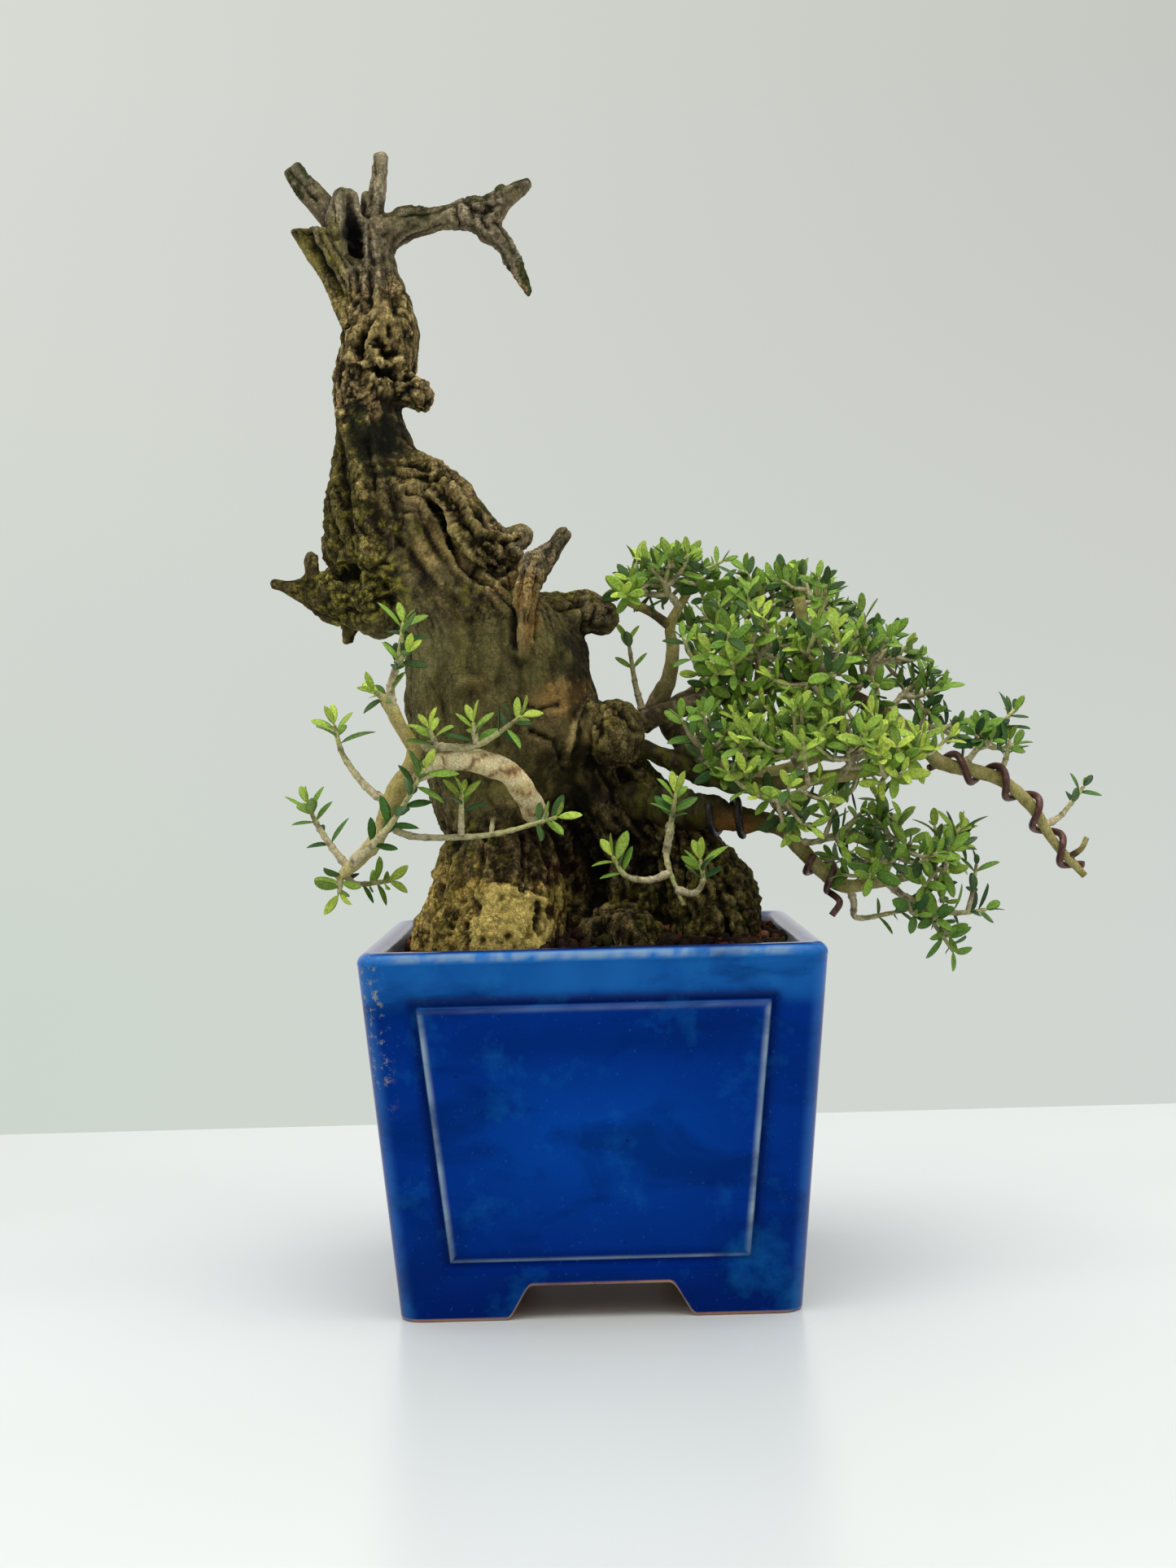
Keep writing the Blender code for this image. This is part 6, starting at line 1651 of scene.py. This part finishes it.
def twig_skin(skin, points, radius, tip, youth, salt):
    """A slim twig: a tube that narrows to its tip, knotty where its leaves stood."""
    fine = spline(np.array(points, dtype=float), 6)
    share = np.linspace(0, 1, len(fine))
    thick = radius + (tip - radius) * share
    rows = np.concatenate((fine, thick[:, None]), axis=1)
    sides = 8
    lengths = lengths_along(fine)
    knots = 0.2 * ease(0.6, 1.0, np.cos(lengths * 2 * math.pi / 4.2 + salt))
    wall, faces = tube(rows, sides)
    rough = waves(wall[:-2].reshape(len(rows), sides, 3), 1.6, salt)
    swell = (knots * thick)[:, None] + 0.12 * rough * thick[:, None]
    wall, faces = tube(rows, sides, swell)
    green = ease(0.2, 1.0, share) * (0.35 + 0.6 * youth)
    colour = blend(np.tile(tone("d0c49c"), (len(rows), 1)), tone("b9bf6c"), green)
    colour = np.repeat(colour, sides, axis=0)
    rough = layers(wall[:-2], 2.5, 2, salt)
    colour = blend(colour, tone("6a6048"), 0.7 * ease(0.05, 0.5, rough))
    skin.add(wall, faces, np.concatenate((colour, colour[:1], colour[-1:])))


def inside(outline, x, z):
    """Whether a place of the front drawing lies inside an outline, by counting crossings."""
    corners = np.array(outline, dtype=float)
    after = np.roll(corners, -1, axis=0)
    spans = (corners[:, 1] > z) != (after[:, 1] > z)
    rise = np.where(spans, after[:, 1] - corners[:, 1], 1.0)
    crossing = corners[:, 0] + (z - corners[:, 1]) / rise * (after[:, 0] - corners[:, 0])
    return bool((spans & (x < crossing)).sum() % 2)


def side_shoots(points, rng, count):
    """Short shoots that leave a twig on all sides and end inside the crown's outline."""
    lengths = lengths_along(points)
    shoots = []
    for number in range(count):
        at = lengths[-1] * (0.2 + 0.7 * (number + rng.uniform(0, 0.9)) / count)
        place, ahead = point_at(points, lengths, at)
        for _ in range(SHOOT_TRIES):
            away = rng.normal(size=3)
            away = unit(away - ahead * ahead.dot(away))
            direction = unit(away + ahead * 0.5 + (0, -0.2, 0.15))
            length = rng.uniform(*SHOOT_REACH)
            end = place + direction * length + (0, 0, 0.15 * length)
            beyond = end + direction * LEAF_MARGIN
            reach = (EYE_DISTANCE + end[1]) / EYE_DISTANCE
            seen_z = EYE_HEIGHT + (beyond[2] - EYE_HEIGHT) / reach
            if inside(CROWN_OUTLINE, beyond[0] / reach, seen_z):
                bend = place + direction * length * 0.55 - (0, 0, 0.03 * length)
                shoots.append(np.array((place, bend, end)))
                break
    return shoots


def nearest_on(rows, place):
    """The point of a limb's centreline that lies nearest to a place."""
    start = rows[:-1, :3]
    span = rows[1:, :3] - start
    share = np.clip(((place - start) * span).sum(axis=1) / (span ** 2).sum(axis=1), 0, 1)
    points = start + span * share[:, None]
    return points[np.linalg.norm(points - place, axis=1).argmin()]


def make_spray(name, twigs, youth, shoots, finishes, blade, spacing):
    """One leafy spray: its twigs, short side shoots and every leaf on them."""
    rng = np.random.default_rng(sum(ord(c) * (i + 3) for i, c in enumerate(name)))
    skin = Skin()
    leaves = []
    for number, (points, radius, leaves_from) in enumerate(twigs):
        points = spline(np.array(points, dtype=float), 3)
        twig_skin(skin, points, radius, 0.55, youth, number + 1)
        leaves += leaves_along(points, min(leaves_from, 0.62) if leaves_from == 1 else leaves_from,
                               spacing, youth, rng, blade, leaves_from == 1)
        if leaves_from <= 1 and shoots:
            for shoot in side_shoots(points, rng, shoots):
                twig_skin(skin, shoot, 0.8, 0.45, youth, number + 7)
                leaves += leaves_along(spline(shoot, 3), 0.35, spacing, youth * 0.9, rng, blade)
    add_leaves(skin, leaves, rng, blade[2])
    return skin.piece("fine_" + name, finishes, "leaf", [name]), len(leaves)


def fan_twigs(limb, root, fork, tips):
    """A short stem from the limb's core to a fork, and a bowed twig to each tip."""
    root = nearest_on(limb, drawn(root))
    fork = drawn(fork)
    twigs = []
    for number, tip in enumerate(drawn(tips)):
        span = np.linalg.norm(tip - fork)
        if number == 0:
            bend = (root + fork) / 2 - (0, 0, 0.06 * np.linalg.norm(fork - root))
            twigs.append(((root, bend, fork, tip), 1.35, 0.6))
        else:
            twigs.append(((fork, (fork + tip) / 2 - (0, 0, 0.08 * span), tip), 1.1, 0.45))
    return twigs


# ---- wire ----

def coil_rows(limb, start, end, turns, wire, phase, stand_off, tail):
    """Wire wound round a limb: the limb's centreline with a turning offset, then its tail."""
    fine = spline(spline(limb, 1), 8)
    places = fine[:, :3]
    lengths = lengths_along(places)
    count = int(turns * 26)
    at = (start + (end - start) * np.arange(count + 1) / count) * lengths[-1]
    middle = np.stack([np.interp(at, lengths, fine[:, k]) for k in range(4)], axis=-1)
    ahead = unit(np.gradient(middle[:, :3], axis=0))
    across = unit(np.cross(ahead, (0, 1, 0)))
    other = np.cross(ahead, across)
    angle = phase + 2 * math.pi * turns * np.arange(count + 1) / count
    reach = middle[:, 3] + wire + stand_off + 0.1
    ring = across * np.cos(angle)[:, None] + other * np.sin(angle)[:, None]
    rows = np.concatenate((middle[:, :3] + ring * reach[:, None],
                           np.full((count + 1, 1), wire)), axis=1)
    if tail:
        ends = drawn(tail)
        join = np.concatenate((rows[-3:, :3], ends))
        bent = spline(join, 6)[12:]
        bent = np.concatenate((bent, np.full((len(bent), 1), wire)), axis=1)
        rows = np.concatenate((rows[:-1], bent))
    return rows


# ---- soil ----

SOIL_HALF = 57.0
SOIL_UNDER_Z = 90.0
SOIL_LINES = 58
SOIL_GRAINS = 1500
GRAIN_SIDES = 6
GRAIN_POINTS = 3 * GRAIN_SIDES + 2


def soil_height(x, y):
    """Height of the soil, mounded behind the trunk and heaped beside its two buttresses."""
    edge = np.maximum(np.abs(x), np.abs(y)) / 57.5
    places = np.stack((x, y, 0 * x), axis=-1)
    heap = ease(44, 54, np.abs(x + 2)) * ease(-38, -16, y) * ease(50, 25, y)
    return (SOIL_EDGE_Z + SOIL_MOUND * ease(1.0, 0.45, edge) * ease(-45, -10, y) + SOIL_HEAP * heap
            + 1.2 * layers(places, 16, 2, 5))


def make_soil(finish):
    """Soil bed over the whole pot, closed below, with loose grains and moss lying on it.

    The bed is a square grid at soil_height(x, y) plus noise, with a flat grid under it. Each
    grain is three rings of six points between two poles, each point moved in or out at random.
    """
    half, n = SOIL_HALF, SOIL_LINES
    line = np.linspace(-half, half, n)
    x, y = np.meshgrid(line, line, indexing="ij")
    z = soil_height(x, y) - 1.0 + 0.7 * layers(np.stack((x, y, 0 * x), axis=-1), 4, 2, 8)
    top = np.stack((x, y, z), axis=-1)
    below = top.copy()
    below[..., 2] = SOIL_UNDER_Z
    below[..., :2] *= 0.985
    skin = Skin()
    brown = tone("2b1c12")
    faces = grid_faces(n, n, wrap_columns=False)
    rim = np.concatenate((np.arange(n) * n, (n - 1) * n + np.arange(1, n),
                          np.arange(n - 1)[::-1] * n + n - 1, np.arange(1, n - 1)[::-1]))
    following = np.roll(rim, -1)
    wall = np.stack((rim, following, following + n * n, rim + n * n), axis=-1)
    skin.add(np.concatenate((top.reshape(-1, 3), below.reshape(-1, 3))),
             [faces, faces[:, ::-1] + n * n, wall], brown)
    rng = np.random.default_rng(11)
    count = SOIL_GRAINS
    gx, gy = rng.uniform(-half + 2, half - 2, (2, count))
    size = rng.uniform(1.0, 2.5, count)
    gz = soil_height(gx, gy) + rng.uniform(-0.8, 0.9, count)
    turn = np.linspace(0, 2 * math.pi, GRAIN_SIDES, endpoint=False)
    rings = [np.stack((math.cos(t) * np.cos(turn + t), math.cos(t) * np.sin(turn + t),
                       np.full(GRAIN_SIDES, math.sin(t))), axis=-1) for t in (-0.75, 0.1, 0.85)]
    pebble = np.concatenate(([[0, 0, -1.0]], *rings, [[0, 0, 1.0]]))
    k = np.arange(GRAIN_SIDES)
    after = (k + 1) % GRAIN_SIDES
    quads = np.concatenate([np.stack((low + k, low + after, low + GRAIN_SIDES + after,
                                      low + GRAIN_SIDES + k), axis=-1)
                            for low in (1, 1 + GRAIN_SIDES)])
    caps = np.concatenate((np.stack((0 * k, 1 + after, 1 + k), axis=-1),
                           np.stack((0 * k + GRAIN_POINTS - 1, 2 * GRAIN_SIDES + 1 + k,
                                     2 * GRAIN_SIDES + 1 + after), axis=-1)))
    shape = pebble[None] * (1 + 0.28 * rng.uniform(-1, 1, (count, GRAIN_POINTS, 1)))
    shape = shape * rng.uniform(0.7, 1.2, (count, 1, 3)) * size[:, None, None]
    spin = rng.uniform(0, 2 * math.pi, count)
    c, s = np.cos(spin)[:, None], np.sin(spin)[:, None]
    shape = np.stack((c * shape[..., 0] - s * shape[..., 1], s * shape[..., 0] + c * shape[..., 1],
                      shape[..., 2]), axis=-1)
    verts = shape + np.stack((gx, gy, gz), axis=-1)[:, None]
    starts = (np.arange(count) * GRAIN_POINTS)[:, None, None]
    reds = np.array([tone(t) for t in ("8a4a30", "a0603e", "6e3a26", "5a3526", "93694a", "3d2a20")])
    colour = reds[rng.integers(0, len(reds), count)] * rng.uniform(0.75, 1.2, (count, 1))
    mossy = ease(0.1, 0.4, layers(np.stack((gx, gy, 0 * gx), axis=-1), 22, 2, 14))
    away = np.maximum(np.abs(gx), np.abs(gy)) / half
    dark = rng.uniform(size=count) < 0.45 + 0.45 * ease(0.98, 0.8, away)
    colour = blend(colour, tone("1d170c"), dark * 0.88)
    colour = blend(colour, tone("3f4718"), mossy * (rng.uniform(size=count) < 0.7))
    skin.add(verts, [(quads[None] + starts).reshape(-1, 4), (caps[None] + starts).reshape(-1, 3)],
             np.repeat(colour[:, None], GRAIN_POINTS, axis=1))
    return skin.piece("soil_bed", [finish], "soil", ["soil"])


# ---- stage ----

def make_stage():
    """Pale floor, world light, lamps and camera."""
    bpy.context.scene.view_settings.view_transform = "Standard"
    floor_finish = Finish("pale_floor", Roughness=0.3, Specular_IOR_Level=0.4)
    wash = floor_finish.remap(floor_finish.noise(3, 2), 0.35, 0.65, 0.0, 1.0)
    floor_finish.wear(Base_Color=floor_finish.mix(FLOOR_TONE, FLOOR_SHADE, wash))
    floor = bpy.data.meshes.new("floor")
    floor.from_pydata([(-3, -3, 0), (3, -3, 0), (3, FLOOR_BACK[1], 0), (-3, FLOOR_BACK[0], 0)], [],
                      [(0, 1, 2, 3)])
    floor_object = bpy.data.objects.new("floor", floor)
    bpy.context.scene.collection.objects.link(floor_object)
    floor.materials.append(floor_finish.material)
    make_world()
    for name, place, wide, tall, power in LAMPS:
        lamp = bpy.data.lights.new(name, "AREA")
        lamp.shape = "RECTANGLE"
        lamp.size, lamp.size_y = wide, tall
        lamp.energy = power
        obj = bpy.data.objects.new(name, lamp)
        obj.location = place
        aim = np.array((0.0, 0.0, 0.14)) - place
        flat = math.hypot(aim[0], aim[1])
        obj.rotation_euler = (math.atan2(flat, -aim[2]), 0, math.atan2(-aim[0], aim[1]))
        bpy.context.scene.collection.objects.link(obj)
    make_camera()


def make_world():
    """Studio round the piece: a pale wall to the eye, and soft light that is dimmest in front.

    The wall's tone is painted with the fall of light on it: it goes from its left to its right
    and from its foot to its top. The light rises from the side that faces the front of the piece
    to the wall behind, and overhead.
    """
    world = bpy.data.worlds.new("studio")
    bpy.context.scene.world = world
    world.use_nodes = True
    tree = world.node_tree
    room = Finish.__new__(Finish)
    room.tree = tree
    coord = tree.nodes.new("ShaderNodeTexCoord")
    split = tree.nodes.new("ShaderNodeSeparateXYZ")
    room.link(coord.outputs["Generated"], split.inputs["Vector"])
    across, ahead, height = split.outputs["X"], split.outputs["Y"], split.outputs["Z"]
    # painted light on the wall: its tone changes across it and up it
    side = room.remap(across, -0.28, 0.28)
    foot = room.mix(tuple(tone("cdd6cd")), tuple(tone("d2d6d2")), side)
    top = room.mix(tuple(tone("d9dbd5")), tuple(tone("c5c7c1")), side)
    wall = room.mix(foot, top, room.remap(height, -0.1, 0.3))
    light = room.maths("ADD", room.remap(ahead, -0.75, 0.5, ROOM_FRONT, ROOM_BACK),
                       room.remap(height, 0.1, 0.9, 0, ROOM_TOP))
    seen = tree.nodes.new("ShaderNodeLightPath").outputs["Is Camera Ray"]
    back = tree.nodes["Background"]
    room.link(room.mix((1, 1, 1), wall, seen), back.inputs["Color"])
    dim = room.maths("SUBTRACT", 1.0, seen)
    strength = room.maths("ADD", seen, room.maths("MULTIPLY", dim, light))
    room.link(strength, back.inputs["Strength"])


def make_camera():
    """Camera at the height and the slight roll of the view, looking along +Y."""
    eye = bpy.data.cameras.new("eye")
    eye.sensor_fit = "AUTO"
    eye.sensor_width = 36
    eye.lens = EYE_FOCAL
    eye.clip_start, eye.clip_end = 0.02, 20
    camera = bpy.data.objects.new("eye", eye)
    camera.location = (POT_AXIS_X * MM, -EYE_DISTANCE * MM, EYE_HEIGHT * MM)
    tilt = math.radians(90 - EYE_PITCH)
    roll = math.radians(-EYE_ROLL)
    c, s, cr, sr = math.cos(tilt), math.sin(tilt), math.cos(roll), math.sin(roll)
    tilted = np.array(((1, 0, 0), (0, c, -s), (0, s, c)))
    turned = tilted @ np.array(((cr, -sr, 0), (sr, cr, 0), (0, 0, 1)))
    camera.rotation_mode = "QUATERNION"
    half = (1 + turned[0, 0] + turned[1, 1] + turned[2, 2]) ** 0.5 / 2
    camera.rotation_quaternion = (
        half, (turned[2, 1] - turned[1, 2]) / (4 * half), (turned[0, 2] - turned[2, 0]) / (4 * half),
        (turned[1, 0] - turned[0, 1]) / (4 * half))
    bpy.context.scene.collection.objects.link(camera)
    bpy.context.scene.camera = camera


def main():
    """Build and dress every piece."""
    make_pot(glaze_finish())
    make_soil(grain_finish())
    make_trunk(bark_finish("gnarled_bark", 420, 0.75))
    limbs = limb_rows()
    skin = Skin()
    for name, rows in limbs.items():
        limb_skin(skin, name, rows)
    skin.piece("limb_bark", [bark_finish("young_bark", 800, 0.4, 0.45)], "bark", ["trunk"])
    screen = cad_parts["drain_screen"]
    screen.data.materials.clear()
    screen.data.materials.append(plastic_finish())
    copper = wire_finish("brown_wire", (0.085, 0.036, 0.028), (0.26, 0.14, 0.1))
    black = wire_finish("black_wire", (0.02, 0.018, 0.018), (0.12, 0.1, 0.09))
    for name, (limb, *winding) in WIRE_COILS.items():
        skin = Skin()
        skin.add(*tube(coil_rows(limbs[limb], *winding), 12), tone("7a5a50"))
        finish = black if name == "wire_lower_limb" else copper
        skin.piece("fine_" + name, [finish], "wire", [name])
    finishes = [twig_finish(), leaf_finish()]
    total = 0
    for name, twigs in LEFT_SPRAYS.items():
        total += make_spray(name, twigs, 0.66, 0, finishes, YOUNG_LEAF, YOUNG_SPACING)[1]
    total += make_spray("spray_front_hooks", HOOK_TWIGS, 0.7, 0, finishes, YOUNG_LEAF, YOUNG_SPACING)[1]
    for name, (limb, root, fork, tips, youth) in DRAWN_SPRAYS.items():
        shoots = (0, 2, 3)[min(len(tips), 3) - 1] - (name in THIN_SPRAYS)
        twigs = fan_twigs(limbs[limb], root, fork, tips)
        total += make_spray(name, twigs, youth, shoots, finishes, CROWN_LEAF, CROWN_SPACING)[1]
    print("leaves", total)
    make_stage()


main()
